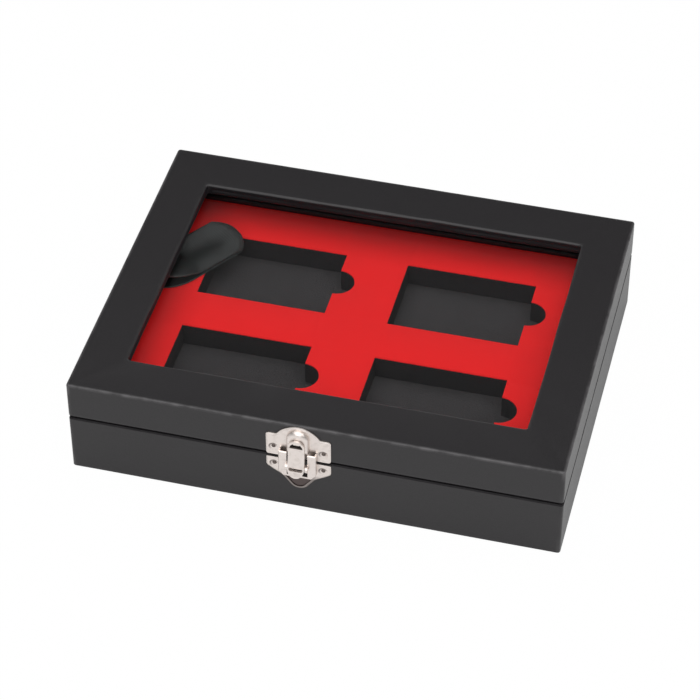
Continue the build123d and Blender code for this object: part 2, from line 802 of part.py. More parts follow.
pieces = {
    "bottom_liner": bottom_liner,
    "base_bottom_panel": base_bottom_panel,
    "base_front_wall": base_front_wall,
    "base_back_wall": base_back_wall,
    "base_left_wall": base_left_wall,
    "base_right_wall": base_right_wall,
    "base_wrap": base_wrap,
    "insert_floor_pad": insert_floor_pad,
    "insert_foam": insert_foam,
    "insert_red_panel": insert_red_panel,
    "latch_lower_plate": latch_lower_plate,
    "latch_pivot_pin": latch_pivot_pin,
    "latch_lower_nails": latch_lower_nails,
    "hinge_left_lower_leaf": make_leaf(-hinge_x, -1),
    "hinge_right_lower_leaf": make_leaf(hinge_x, -1),
    "hinge_left_pin": make_hinge_pin(-hinge_x),
    "hinge_right_pin": make_hinge_pin(hinge_x),
    "hinge_lower_nails": hinge_lower_nails,
    "ribbon_stay": ribbon_stay,
    "lid_top_frame": lid_top_frame,
    "lid_front_wall": lid_front_wall,
    "lid_back_wall": lid_back_wall,
    "lid_left_wall": lid_left_wall,
    "lid_right_wall": lid_right_wall,
    "lid_wrap": lid_wrap,
    "window_pane": window_pane,
    "window_bead_front": window_bead_front,
    "window_bead_back": window_bead_back,
    "window_bead_left": window_bead_left,
    "window_bead_right": window_bead_right,
    "latch_upper_plate": latch_upper_plate,
    "latch_upper_nails": latch_upper_nails,
    "hinge_left_upper_leaf": make_leaf(-hinge_x, 1),
    "hinge_right_upper_leaf": make_leaf(hinge_x, 1),
    "hinge_upper_nails": hinge_upper_nails,
    "latch_lever": latch_lever,
}

os.makedirs("parts", exist_ok=True)
for name, piece in pieces.items():
    save(piece, name)
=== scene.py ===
"""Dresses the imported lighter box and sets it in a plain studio.

The frame gives the boards, the latch, the hinges, the pane and its beads, which get their finishes
here. The leatherette, the insert and the ribbon stay are made again as the soft things they are.
Lengths in the classes are in millimetres. Meshes and the studio's own sizes are in metres.
"""

import logging
import math
from collections.abc import Callable, Iterable
from dataclasses import dataclass, field
from enum import Enum

import bmesh
import bpy
from mathutils import Matrix, Vector, noise


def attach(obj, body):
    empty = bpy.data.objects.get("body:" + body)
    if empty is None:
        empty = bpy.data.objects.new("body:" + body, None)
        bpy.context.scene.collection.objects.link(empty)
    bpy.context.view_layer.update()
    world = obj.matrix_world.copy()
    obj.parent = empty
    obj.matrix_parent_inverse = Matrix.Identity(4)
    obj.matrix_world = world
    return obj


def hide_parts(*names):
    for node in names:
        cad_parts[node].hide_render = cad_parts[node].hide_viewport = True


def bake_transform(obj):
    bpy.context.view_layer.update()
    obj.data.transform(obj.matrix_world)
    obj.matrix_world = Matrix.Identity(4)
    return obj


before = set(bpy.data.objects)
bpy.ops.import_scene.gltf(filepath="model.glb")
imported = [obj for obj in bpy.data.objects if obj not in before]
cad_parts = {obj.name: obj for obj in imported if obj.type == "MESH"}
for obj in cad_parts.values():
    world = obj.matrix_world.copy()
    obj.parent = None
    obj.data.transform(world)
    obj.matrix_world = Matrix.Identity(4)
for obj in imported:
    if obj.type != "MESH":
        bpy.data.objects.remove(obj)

Colour = tuple[float, float, float]
Pair = tuple[float, float]
Size = tuple[float, float, float]
Edge = bmesh.types.BMEdge
EdgeTest = Callable[[bmesh.types.BMEdge], bool]
PlaceTest = Callable[[Vector], bool]
Socket = bpy.types.NodeSocket
log = logging.getLogger("lighter box")
MM = 0.001
WHITE: Colour = (1.0, 1.0, 1.0)

# Places closer than this many millimetres count as one
TOUCH = 0.01

# An edge that turns by more than this many radians is a fold
TURNED = 0.5

# Share of a length above which it counts as lying along an axis
NEARLY_ALL = 0.9


class Body(Enum):
    """The bodies of the frame that the new pieces ride on."""

    BASE = "base"
    LID = "lid"


class Finish(Enum):
    """The finishes of the box, by the thing that each is for."""

    LEATHERETTE = "leatherette"
    SHADED_FOLDS = "shaded folds"
    NICKEL = "nickel"
    UPPER_PLATE = "nickel of the upper latch plate"
    LOWER_PLATE = "nickel of the lower latch plate"
    NAILS = "nail steel with painted shade"
    PANE = "clear pane"
    BOARD = "fibreboard"
    LINER = "liner paper"
    BEADS = "bead card"
    FLOCK = "red flock"
    FOAM = "pocket foam"
    PAD = "floor pad"
    SATIN = "satin"


@dataclass(frozen=True)
class Grain:
    """One noise of a finish.

    Its scale is in features to a metre. It is stretched along X by a factor and turned about Z by an
    angle in radians.
    """

    scale: float
    detail: float
    stretch: float = 1.0
    angle: float = 0.0


class NodeBench:
    """A node tree on the bench, with short ways to add what the finishes and the room need."""

    def __init__(self, tree: bpy.types.NodeTree) -> None:
        """Take the tree that the nodes go into."""
        self.tree = tree

    def add(self, kind: str, inputs: dict | None = None, **settings: object) -> bpy.types.Node:
        """Add a node.

        Args:
            kind: The node's type.
            inputs: Sockets by name or number, each a value or another node's output.
            settings: The node's own settings.

        Returns:
            The node.
        """
        node = self.tree.nodes.new(kind)
        for setting, value in settings.items():
            setattr(node, setting, value)
        for socket, value in (inputs or {}).items():
            if isinstance(value, bpy.types.NodeSocket):
                self.tree.links.new(value, node.inputs[socket])
            else:
                node.inputs[socket].default_value = value
        return node

    def maths(self, operation: str, first: object, second: object = 0.0) -> Socket:
        """What an operation makes of one or two outputs or numbers."""
        return self.add("ShaderNodeMath", {0: first, 1: second}, operation=operation).outputs[0]

    def times(self, first: object, second: object) -> Socket:
        """The product of two outputs or numbers."""
        return self.maths("MULTIPLY", first, second)

    def plus(self, first: object, second: object) -> Socket:
        """The sum of two outputs or numbers."""
        return self.maths("ADD", first, second)

    def vectors(self, operation: str, first: object, second: object = (0.0, 0.0, 0.0)) -> bpy.types.Node:
        """A node that works on one or two vectors."""
        return self.add("ShaderNodeVectorMath", {0: first, 1: second}, operation=operation)

    def split(self, vector: Socket) -> list[Socket]:
        """The X, Y and Z of a vector."""
        return list(self.add("ShaderNodeSeparateXYZ", {0: vector}).outputs)

    def spread(
        self,
        value: Socket,
        low: float,
        high: float,
        start: float = 0.0,
        stop: float = 1.0,
        curve: str = "LINEAR",
    ) -> Socket:
        """Map a value that runs from start to stop onto low to high.

        Args:
            value: The output to map.
            low: Result at start.
            high: Result at stop.
            start: Value that gives low.
            stop: Value that gives high.
            curve: How it goes between them, as Map Range names it.

        Returns:
            The mapped output.
        """
        inputs = {"Value": value, "From Min": start, "From Max": stop, "To Min": low, "To Max": high}
        return self.add("ShaderNodeMapRange", inputs, interpolation_type=curve).outputs["Result"]

    def mix(self, factor: Socket, first: object, second: object) -> Socket:
        """Mix two colours.

        Args:
            factor: The share of the second, from 0 to 1.
            first: A plain colour or an output.
            second: A plain colour or an output.

        Returns:
            The mixed colour.
        """
        ends = [(*end, 1.0) if isinstance(end, tuple) else end for end in (first, second)]
        return self.add("ShaderNodeMix", {0: factor, 6: ends[0], 7: ends[1]}, data_type="RGBA").outputs[2]

    def mix_shaders(self, factor: Socket, first: Socket, second: Socket) -> Socket:
        """Two shaders mixed, with the factor as the share of the second."""
        return self.add("ShaderNodeMixShader", {0: factor, 1: first, 2: second}).outputs[0]

    def clear(self, tint: Colour = WHITE) -> Socket:
        """A shader that lets the light straight through."""
        return self.add("ShaderNodeBsdfTransparent", {"Color": (*tint, 1.0)}).outputs[0]


class FinishBench(NodeBench):
    """The node tree of one finish, built outwards from its Principled shader."""

    def __init__(self, name: str, colour: Colour, roughness: float, **sockets: object) -> None:
        """Start a material with its plain values.

        Args:
            name: The material's name.
            colour: Base colour, linear.
            roughness: Roughness of the whole surface.
            sockets: More plain socket values, with underscores for the spaces in their names.
        """
        self.material = bpy.data.materials.new(name)
        self.material.use_nodes = True
        super().__init__(self.material.node_tree)
        self.shader = self.tree.nodes["Principled BSDF"]
        self.shader.inputs["Base Color"].default_value = (*colour, 1.0)
        self.shader.inputs["Roughness"].default_value = roughness
        for socket_name, value in sockets.items():
            self.shader.inputs[socket_name.replace("_", " ")].default_value = value
        self.place = self.add("ShaderNodeTexCoord").outputs["Object"]

    def noise(self, grain: Grain) -> Socket:
        """Soft noise over the piece.

        Args:
            grain: The noise's sizes.

        Returns:
            A number from 0 to 1.
        """
        place = self.place
        if grain.stretch != 1.0:
            stretch, turn = (grain.stretch, 1.0, 1.0), (0.0, 0.0, grain.angle)
            mapping = {"Vector": place, "Scale": stretch, "Rotation": turn}
            place = self.add("ShaderNodeMapping", mapping).outputs["Vector"]
        inputs = {"Vector": place, "Scale": grain.scale, "Detail": grain.detail}
        return self.add("ShaderNodeTexNoise", inputs).outputs["Fac"]

    def cells(self, scale: float) -> Socket:
        """Distance to the nearest of many scattered points, for pebbled grain and foam."""
        return self.add("ShaderNodeTexVoronoi", {"Vector": self.place, "Scale": scale}).outputs["Distance"]

    def attribute(self, name: str) -> Socket:
        """A number that the mesh carries at its points."""
        return self.add("ShaderNodeAttribute", attribute_name=name).outputs["Fac"]

    def relief(self, height: Socket, depth: float, under: Socket | None = None) -> Socket:
        """Bump the surface.

        Args:
            height: The relief, from 0 to 1.
            depth: What 1 stands for, in millimetres.
            under: A normal that is bumped already.

        Returns:
            The bumped normal.
        """
        inputs = {"Height": height, "Distance": depth * MM, "Strength": 1.0}
        if under is not None:
            inputs["Normal"] = under
        return self.add("ShaderNodeBump", inputs).outputs["Normal"]

    def finish(self, **links: Socket) -> bpy.types.Material:
        """Link outputs to the shader's sockets.

        Args:
            links: Outputs by socket, with underscores for the spaces in their names.

        Returns:
            The material.
        """
        for socket, value in links.items():
            self.tree.links.new(value, self.shader.inputs[socket.replace("_", " ")])
        return self.material

    def finish_with(self, surface: Socket) -> bpy.types.Material:
        """Link a shader as the surface in place of what is there, and hand the material over."""
        self.tree.links.new(surface, self.tree.nodes["Material Output"].inputs["Surface"])
        return self.material


@dataclass(frozen=True)
class Leatherette:
    """Black grained paper leatherette with rubbed edges, lighter there partly from wear and partly from a
    painted highlight.
    """

    name: str = "leatherette"
    deep: Colour = (0.0072, 0.0060, 0.0072)
    raised: Colour = (0.0108, 0.0092, 0.0108)
    # Colour of the rubbed edges: partly real wear, partly a painted highlight
    rubbed_and_lit: Colour = (0.075, 0.071, 0.074)
    roughness: float = 0.39
    specular: float = 0.5
    pebbles: float = 1900.0
    pebble_range: Pair = (0.1, 0.7)
    pebble_depth: float = 0.02
    fibres: Grain = Grain(4370.0, 3.0)
    fibre_gloss: float = 0.03
    fibre_depth: float = 0.01
    sag: Grain = Grain(22.0, 3.0)
    sag_gloss: float = 0.01
    sag_depth: float = 0.015
    rub_and_highlight: Grain = Grain(160.0, 4.0)
    rub_and_highlight_least: float = 0.2
    rub_and_highlight_range: Pair = (0.35, 0.65)

    def make(self) -> bpy.types.Material:
        """Build the material, which reads the wrap's attribute of wear and painted edge highlight.

        Returns:
            The material.
        """
        bench = FinishBench(self.name, self.raised, self.roughness, Specular_IOR_Level=self.specular)
        pebbles = bench.cells(self.pebbles)
        fibres = bench.noise(self.fibres)
        sag = bench.noise(self.sag)
        # Rubbed edges lighter in patches: partly wear, partly a painted highlight along the lid's top
        patches = bench.spread(bench.noise(self.rub_and_highlight), self.rub_and_highlight_least, 1.0, *self.rub_and_highlight_range)
        rub_and_highlight = bench.times(bench.attribute("wear_and_highlight"), patches)
        mottled = bench.mix(bench.spread(pebbles, 0.0, 1.0, *self.pebble_range), self.raised, self.deep)
        slow_gloss = bench.spread(sag, -self.sag_gloss, self.sag_gloss)
        fine_gloss = bench.spread(fibres, -self.fibre_gloss, self.fibre_gloss)
        gloss = bench.plus(bench.plus(slow_gloss, fine_gloss), self.roughness)
        slack = bench.relief(sag, self.sag_depth)
        pebbled = bench.relief(pebbles, self.pebble_depth, slack)
        skin = bench.relief(fibres, self.fibre_depth, pebbled)
        return bench.finish(Base_Color=bench.mix(rub_and_highlight, mottled, self.rubbed_and_lit), Roughness=gloss, Normal=skin)


@dataclass(frozen=True)
class Mottled:
    """A matt surface of two colours, mixed by a fine and a slow noise, with the fine one in relief."""

    name: str
    dark: Colour
    light: Colour
    roughness: float
    fine: Grain
    fine_share: Pair
    fine_depth: float
    slow: Grain
    slow_share: Pair
    gloss_swing: Pair = (0.0, 0.0)
    specular: float = 0.5
    pores: float = 0.0
    pore_depth: float = 0.0
    sheen: float = 0.0
    sheen_roughness: float = 0.5
    sheen_tint: Colour = WHITE

    def make(self) -> bpy.types.Material:
        """Build the material.

        Returns:
            The material.
        """
        bench = FinishBench(
            self.name,
            self.light,
            self.roughness,
            Specular_IOR_Level=self.specular,
            Sheen_Weight=self.sheen,
            Sheen_Roughness=self.sheen_roughness,
            Sheen_Tint=(*self.sheen_tint, 1.0),
        )
        fine, slow = bench.noise(self.fine), bench.noise(self.slow)
        mixed = bench.plus(bench.spread(fine, *self.fine_share), bench.spread(slow, *self.slow_share))
        pitted = bench.relief(bench.cells(self.pores), self.pore_depth) if self.pores else None
        links = {
            "Base_Color": bench.mix(mixed, self.dark, self.light),
            "Normal": bench.relief(fine, self.fine_depth, pitted),
        }
        if any(self.gloss_swing):
            least, most = (self.roughness + swing for swing in self.gloss_swing)
            links["Roughness"] = bench.spread(slow, least, most)
        return bench.finish(**links)


@dataclass(frozen=True)
class RedFlock(Mottled):
    """Red flocked card: short matt pile with slight brush marks."""

    name: str = "red flock"
    dark: Colour = (0.79, 0.010, 0.011)
    light: Colour = (0.97, 0.017, 0.019)
    roughness: float = 0.95
    fine: Grain = Grain(5200.0, 3.0)
    fine_share: Pair = (0.15, 0.55)
    fine_depth: float = 0.06
    slow: Grain = Grain(60.0, 3.0, stretch=0.35, angle=0.3)
    slow_share: Pair = (0.1, 0.5)
    specular: float = 0.08
    sheen: float = 0.15
    sheen_roughness: float = 0.6
    sheen_tint: Colour = (1.0, 0.25, 0.25)


@dataclass(frozen=True)
class FoamFinish(Mottled):
    """Dark open foam with flock on it; light and dark differ between the floor and the walls."""

    roughness: float = 0.95
    fine: Grain = Grain(3200.0, 4.0)
    fine_share: Pair = (0.0, 0.6)
    fine_depth: float = 0.08
    slow: Grain = Grain(40.0, 4.0)
    slow_share: Pair = (0.0, 0.5)
    specular: float = 0.2
    pores: float = 1500.0
    pore_depth: float = 0.10


@dataclass(frozen=True)
class Fibreboard(Mottled):
    """Raw pressed board: pale chips and dark fibres."""

    name: str = "fibreboard"
    dark: Colour = (0.16, 0.09, 0.045)
    light: Colour = (0.36, 0.24, 0.13)
    roughness: float = 0.9
    fine: Grain = Grain(900.0, 5.0, stretch=0.25)
    fine_share: Pair = (0.0, 0.7)
    fine_depth: float = 0.08
    slow: Grain = Grain(260.0, 3.0)
    slow_share: Pair = (0.0, 0.3)


@dataclass(frozen=True)
class BlackPaper(Mottled):
    """Black paper or card with a faint fibre."""

    fine: Grain = Grain(1300.0, 5.0, stretch=0.4, angle=0.5)
    fine_share: Pair = (0.0, 0.7)
    fine_depth: float = 0.02
    slow: Grain = Grain(90.0, 3.0)
    slow_share: Pair = (0.0, 0.4)
    gloss_swing: Pair = (-0.08, 0.05)


@dataclass(frozen=True)
class Satin:
    """Black satin tape: fine ribs across it, a firm edge and a soft sheen."""

    ground: Colour = (0.005, 0.0055, 0.0055)
    float_thread: Colour = (0.0095, 0.0105, 0.0105)
    edge_thread: Colour = (0.032, 0.035, 0.034)
    roughness: float = 0.42
    specular: float = 0.4
    sheen: float = 0.12
    sheen_roughness: float = 0.35
    sheen_tint: Colour = (0.85, 1.0, 0.95)
    ribs: float = 220.0
    rib_depth: float = 0.03
    thread: Grain = Grain(900.0, 3.0, stretch=0.3)
    thread_range: Pair = (0.3, 0.7)
    selvedge: Pair = (0.46, 0.485)
    selvedge_depth: float = 0.06

    def make(self) -> bpy.types.Material:
        """Build the material, which reads the tape's UV map, U along it and V across it.

        Returns:
            The material.
        """
        bench = FinishBench(
            "satin",
            self.float_thread,
            self.roughness,
            Specular_IOR_Level=self.specular,
            Sheen_Weight=self.sheen,
            Sheen_Roughness=self.sheen_roughness,
            Sheen_Tint=(*self.sheen_tint, 1.0),
        )
        tape = bench.split(bench.add("ShaderNodeUVMap", uv_map="tape").outputs[0])
        rib = bench.maths("SINE", bench.times(tape[0], self.ribs * math.tau))
        from_middle = bench.maths("ABSOLUTE", bench.maths("SUBTRACT", tape[1], 0.5))
        selvedge = bench.spread(from_middle, 0.0, 1.0, *self.selvedge)
        threads = bench.spread(bench.noise(self.thread), 0.0, 1.0, *self.thread_range)
        body = bench.mix(threads, self.ground, self.float_thread)
        ribbed = bench.relief(bench.spread(rib, 0.0, 1.0, -1.0, 1.0), self.rib_depth)
        bound = bench.relief(selvedge, self.selvedge_depth, ribbed)
        return bench.finish(Base_Color=bench.mix(selvedge, body, self.edge_thread), Normal=bound)


@dataclass(frozen=True)
class NickelPlate:
    """Bright nickel on stamped steel, a little uneven from the press.

    A latch plate also gets painted shade: over its pressed tip, or on the rims of its nails' dimples.
    """

    name: str = "nickel plate"
    colour: Colour = (0.80, 0.73, 0.69)
    dull: Colour = (0.56, 0.50, 0.46)
    # Colour of the painted shade on the pressed tip and round the nails
    painted_shade: Colour = (0.110, 0.088, 0.084)
    roughness: float = 0.3
    ripple: Grain = Grain(240.0, 3.0)
    ripple_gloss: float = 0.12
    ripple_depth: float = 0.06
    pits: Grain = Grain(1700.0, 4.0)
    pit_gloss: Pair = (0.26, 0.38)
    pit_depth: float = 0.006
    tarnish: Grain = Grain(420.0, 4.0)
    tarnish_most: float = 0.6
    tarnish_range: Pair = (0.5, 0.8)
    shaded_tip_top: float = 0.0
    shaded_tip_fade: float = 2.5
    plate_face: float = -80.6
    face_fade: float = 0.05
    rim_shade_share: float = 0.72
    nails: tuple[Pair, ...] = ()
    dimple_radius: float = 1.8
    dimple_rim: float = 0.35
    shaded_side: Size = (-0.6, 0.0, 0.8)
    shade_most: float = 0.8
    shade_range: Pair = (-0.4, 0.6)

    def tip_shade(self, bench: FinishBench) -> Socket:
        """How much painted shade a place gets in the pressed tip: low on the plate, and fully so behind its
        face.

        Args:
            bench: The finish's bench.

        Returns:
            A number from 0 to 1.
        """
        place = bench.split(bench.place)
        top, fade = self.shaded_tip_top * MM, self.shaded_tip_fade * MM
        face, edge = self.plate_face * MM, self.face_fade * MM
        low = bench.spread(place[2], 1.0, 0.0, top - fade, top)
        behind = bench.spread(place[1], self.rim_shade_share, 1.0, face - edge, face + edge)
        return bench.times(low, behind)

    def dimple_rim_shade(self, bench: FinishBench, nail: Pair) -> Socket:
        """How much painted shade the rim of one nail's dimple gets: most at its upper left.

        Args:
            bench: The finish's bench.
            nail: X and Z of the nail.

        Returns:
            A number from 0 to 1.
        """
        flat = bench.vectors("MULTIPLY", bench.place, (1.0, 0.0, 1.0)).outputs[0]
        step = bench.vectors("SUBTRACT", flat, (nail[0] * MM, 0.0, nail[1] * MM)).outputs[0]
        away = bench.vectors("LENGTH", step).outputs["Value"]
        lean = bench.vectors("DOT_PRODUCT", step, self.shaded_side).outputs["Value"]
        radius, width = self.dimple_radius * MM, self.dimple_rim * MM
        inside = bench.spread(away, 0.0, 1.0, radius - 2.0 * width, radius - width)
        outside = bench.spread(away, 1.0, 0.0, radius, radius + width)
        start, stop = (share * radius for share in self.shade_range)
        upper_left = bench.spread(lean, 0.0, self.shade_most, start, stop)
        return bench.times(bench.times(inside, outside), upper_left)

    def make(self) -> bpy.types.Material:
        """Build the material.

        Returns:
            The material.
        """
        bench = FinishBench(self.name, self.colour, self.roughness, Metallic=1.0)
        ripple = bench.noise(self.ripple)
        pits = bench.noise(self.pits)
        tarnish = bench.spread(bench.noise(self.tarnish), 0.0, self.tarnish_most, *self.tarnish_range)
        gloss = bench.plus(bench.spread(pits, *self.pit_gloss), bench.spread(ripple, 0.0, self.ripple_gloss))
        pressed = bench.relief(ripple, self.ripple_depth)
        skin = bench.relief(pits, self.pit_depth, pressed)
        colour = bench.mix(tarnish, self.colour, self.dull)
        # Painted shade over the pressed tip and on the rims of the nails' dimples
        if self.shaded_tip_top:
            colour = bench.mix(self.tip_shade(bench), colour, self.painted_shade)
        for nail in self.nails:
            colour = bench.mix(self.dimple_rim_shade(bench, nail), colour, self.painted_shade)
        return bench.finish(Base_Color=colour, Roughness=gloss, Normal=skin)


@dataclass(frozen=True)
class LatchShadeMarks:
    """Where painted shade goes on the latch's plates, as X and Z from the front."""

    upper_nails: tuple[Pair, ...] = ((-15.9, 33.2), (5.1, 33.2))
    lower_nails: tuple[Pair, ...] = ((-15.7, 23.7), (4.9, 23.7))
    shaded_tip_top: float = 20.5


@dataclass(frozen=True)
class ClearPane:
    """Clear polished acrylic that lets the light through and mirrors a little of the room."""

    tint: Colour = (0.965, 0.975, 0.975)
    mirrored: float = 0.03
    smear: Grain = Grain(35.0, 4.0)
    smear_gloss: Pair = (0.02, 0.09)
    facing_blend: float = 0.5
    facing_power: float = 5.0

    def make(self) -> bpy.types.Material:
        """Build the material: see-through, with a mirror on each face that grows at a low angle.

        Returns:
            The material.
        """
        bench = FinishBench("clear pane", self.tint, self.smear_gloss[0])
        smear = bench.spread(bench.noise(self.smear), *self.smear_gloss)
        mirror = bench.add("ShaderNodeBsdfGlossy", {"Color": (*WHITE, 1.0), "Roughness": smear}).outputs[0]
        facing = bench.add("ShaderNodeLayerWeight", {"Blend": self.facing_blend}).outputs["Facing"]
        share = bench.spread(bench.maths("POWER", facing, self.facing_power), self.mirrored, 1.0)
        surface = bench.mix_shaders(share, bench.clear(self.tint), mirror)
        bench.tree.nodes.remove(bench.shader)
        return bench.finish_with(surface)


class Workpiece:
    """A bmesh on the bench. Its lengths are millimetres until it is handed over."""

    def __init__(self) -> None:
        """Start with nothing."""
        self.bm = bmesh.new()

    def grid(self, length_cuts: int, width_cuts: int, size: float = 1.0) -> list[bmesh.types.BMVert]:
        """Lay a level square grid round the origin, with a UV map where the bmesh has a layer for one.

        Args:
            length_cuts: Faces along X.
            width_cuts: Faces along Y.
            size: Length of its side.

        Returns:
            Its vertices.
        """
        made = bmesh.ops.create_grid(
            self.bm, x_segments=length_cuts, y_segments=width_cuts, size=size / 2, calc_uvs=True
        )
        return made["verts"]

    def rectangle(self, length: float, width: float, height: float) -> list[Edge]:
        """Lay a level rectangle of four edges with no face in it.

        Args:
            length: Size along X.
            width: Size along Y.
            height: Its Z.

        Returns:
            The four edges.
        """
        made = self.grid(1, 1)
        bmesh.ops.scale(self.bm, vec=(length, width, 1.0), verts=made)
        bmesh.ops.translate(self.bm, vec=(0.0, 0.0, height), verts=made)
        face = made[0].link_faces[0]
        edges = list(face.edges)
        bmesh.ops.delete(self.bm, geom=[face], context="FACES_ONLY")
        return edges

    def carry(self, edges: Iterable[Edge], length: float, width: float, height: float) -> list[Edge]:
        """Extrude a rectangle of edges out to another rectangle.

        Args:
            edges: The rectangle to extrude.
            length: The new one's size along X.
            width: The new one's size along Y.
            height: The new one's Z.

        Returns:
            The new rectangle's edges.
        """
        made = bmesh.ops.extrude_edge_only(self.bm, edges=list(edges))["geom"]
        for vert in (part for part in made if isinstance(part, bmesh.types.BMVert)):
            x = math.copysign(length / 2, vert.co.x)
            y = math.copysign(width / 2, vert.co.y)
            vert.co = Vector((x, y, height))
        return [part for part in made if isinstance(part, bmesh.types.BMEdge)]

    def edges_where(self, test: EdgeTest) -> list[Edge]:
        """The edges that pass a test."""
        return [edge for edge in self.bm.edges if test(edge)]

    def round_off(self, edges: list[Edge], radius: float, segments: int) -> None:
        """Bevel edges to a round.

        Args:
            edges: The edges.
            radius: The round's radius.
            segments: Faces across it.
        """
        bmesh.ops.bevel(
            self.bm,
            geom=edges,
            offset=radius,
            offset_type="OFFSET",
            affect="EDGES",
            segments=segments,
            profile=0.5,
            material=-1,
            clamp_overlap=True,
        )

    def frame_flats(self, least: float, margin: float) -> None:
        """Give every flat stretch its own border, so that it is shaded flat.

        Args:
            least: Area above which a face is such a stretch.
            margin: Width of the border.
        """
        flats = [face for face in self.bm.faces if face.calc_area() > least]
        bmesh.ops.inset_region(
            self.bm,
            faces=flats,
            thickness=margin,
            depth=0.0,
            use_boundary=True,
            use_even_offset=True,
        )

    def divide(self, test: EdgeTest, cuts: int) -> None:
        """Cut the edges that pass a test, and the faces between them."""
        edges = self.edges_where(test)
        bmesh.ops.subdivide_edges(self.bm, edges=edges, cuts=cuts, use_grid_fill=True)

    def draw_line(self, start: bmesh.types.BMVert, points: Iterable[Pair]) -> bmesh.types.BMVert:
        """Draw level straight edges from a vertex through points in plan.

        Args:
            start: The vertex to start from.
            points: X and Y of each corner on the way.

        Returns:
            The last vertex.
        """
        last = start
        for x, y in points:
            last = bmesh.ops.extrude_vert_indiv(self.bm, verts=[last])["verts"][0]
            last.co = Vector((x, y, start.co.z))
        return last

    def draw_arc(
        self, start: bmesh.types.BMVert, centre: Pair, angle: float, steps: int
    ) -> bmesh.types.BMVert:
        """Draw a level arc from a vertex round a centre in plan.

        Args:
            start: The vertex to start from.
            centre: X and Y of the middle.
            angle: How far it goes, in degrees.
            steps: Number of edges.

        Returns:
            The last vertex.
        """
        made = bmesh.ops.spin(
            self.bm,
            geom=[start],
            cent=(*centre, start.co.z),
            axis=(0.0, 0.0, 1.0),
            angle=math.radians(angle),
            steps=steps,
            use_merge=False,
            use_duplicate=False,
        )["geom_last"]
        return next(part for part in made if isinstance(part, bmesh.types.BMVert))

    def mark_wear_and_highlight(self, rubbed_and_lit: Callable[[Vector], float], full_turn: float) -> None:
        """Write how sharply the surface turns at each vertex, from 0 to 1, as its wear and painted edge
        highlight.

        Args:
            rubbed_and_lit: The share of the wear and painted highlight that a place gets.
            full_turn: The turn in degrees that gives all of it.
        """
        layer = self.bm.verts.layers.float.new("wear_and_highlight")
        for vert in self.bm.verts:
            turn = max((edge.calc_face_angle(0.0) for edge in vert.link_edges), default=0.0)
            vert[layer] = min(1.0, turn / math.radians(full_turn)) * rubbed_and_lit(vert.co)

    def hand_over(self, name: str, material: bpy.types.Material) -> bpy.types.Object:
        """Turn the bmesh into an object in metres.

        Args:
            name: The object's name.
            material: Its material.

        Returns:
            The object, at the origin.
        """
        bmesh.ops.scale(self.bm, vec=(MM, MM, MM), verts=self.bm.verts)
        mesh = bpy.data.meshes.new(name)
        self.bm.to_mesh(mesh)
        self.bm.free()
        mesh.materials.append(material)
        piece = bpy.data.objects.new(name, mesh)
        bpy.context.scene.collection.objects.link(piece)
        return piece


def smooth_by_angle(piece: bpy.types.Object, degrees: float) -> None:
    """Shade a piece smooth, with edges sharper than an angle kept sharp."""
    piece.data.shade_smooth()
    piece.data.set_sharp_from_angle(angle=math.radians(degrees))


def thicken(piece: bpy.types.Object, thickness: float, offset: float) -> None:
    """Give a sheet its thickness.

    Args:
        piece: The sheet.
        thickness: Its thickness in millimetres.
        offset: -1 to grow inwards from its faces, 0 to grow to both sides.
    """
    solid = piece.modifiers.new("thickness", "SOLIDIFY")
    solid.thickness = thickness * MM
    solid.offset = offset


def apply_modifiers(piece: bpy.types.Object) -> None:
    """Put what a piece's modifiers make into its mesh.

    Args:
        piece: The piece, which loses its modifiers.
    """
    graph = bpy.context.evaluated_depsgraph_get()
    piece.data = bpy.data.meshes.new_from_object(piece.evaluated_get(graph), depsgraph=graph)
    piece.modifiers.clear()


def stand_in(piece: bpy.types.Object, body: Body, slot: str, *nodes: str) -> None:
    """Let a piece take the place of its CAD nodes.

    Args:
        piece: The new piece.
        body: The body that it rides on.
        slot: The slot that its finish belongs to; not used.
        nodes: The nodes that it replaces.
    """
    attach(piece, body.value)
    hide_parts(*nodes)
    log.info("%s: %d faces, rides on %s", piece.name, len(piece.data.polygons), body.value)


def level_crease(height: float, test: PlaceTest) -> EdgeTest:
    """Make a test for the edges of a fold that lies level.

    Args:
        height: The fold's Z.
        test: Picks the stretch of the plan that the fold lies in.

    Returns:
        The test.
    """

    def passes(edge: Edge) -> bool:
        """True for a turned edge at the height and in the stretch."""
        level = all(abs(vert.co.z - height) < TOUCH for vert in edge.verts)
        turned = len(edge.link_faces) == 2 and edge.calc_face_angle(0.0) > TURNED
        return level and turned and all(test(vert.co) for vert in edge.verts)

    return passes


def runs_along(axis: int, least: float) -> EdgeTest:
    """Make a test for the long edges along an axis.

    Args:
        axis: 0, 1 or 2 for X, Y or Z.
        least: Length above which an edge passes.

    Returns:
        The test.
    """

    def passes(edge: Edge) -> bool:
        """True for an edge that is long enough and nearly straight along the axis."""
        step = edge.verts[0].co - edge.verts[1].co
        return abs(step[axis]) > least and abs(step[axis]) > NEARLY_ALL * step.length

    return passes


@dataclass(frozen=True)
class PlanNoise:
    """A smooth unevenness over the plan, told apart from others by its seed."""

    wave: float
    seed: float

    def at(self, point: Vector) -> float:
        """Its value at a place, from about -1 to 1."""
        return noise.noise(Vector((point.x * self.wave, point.y * self.wave, self.seed)))


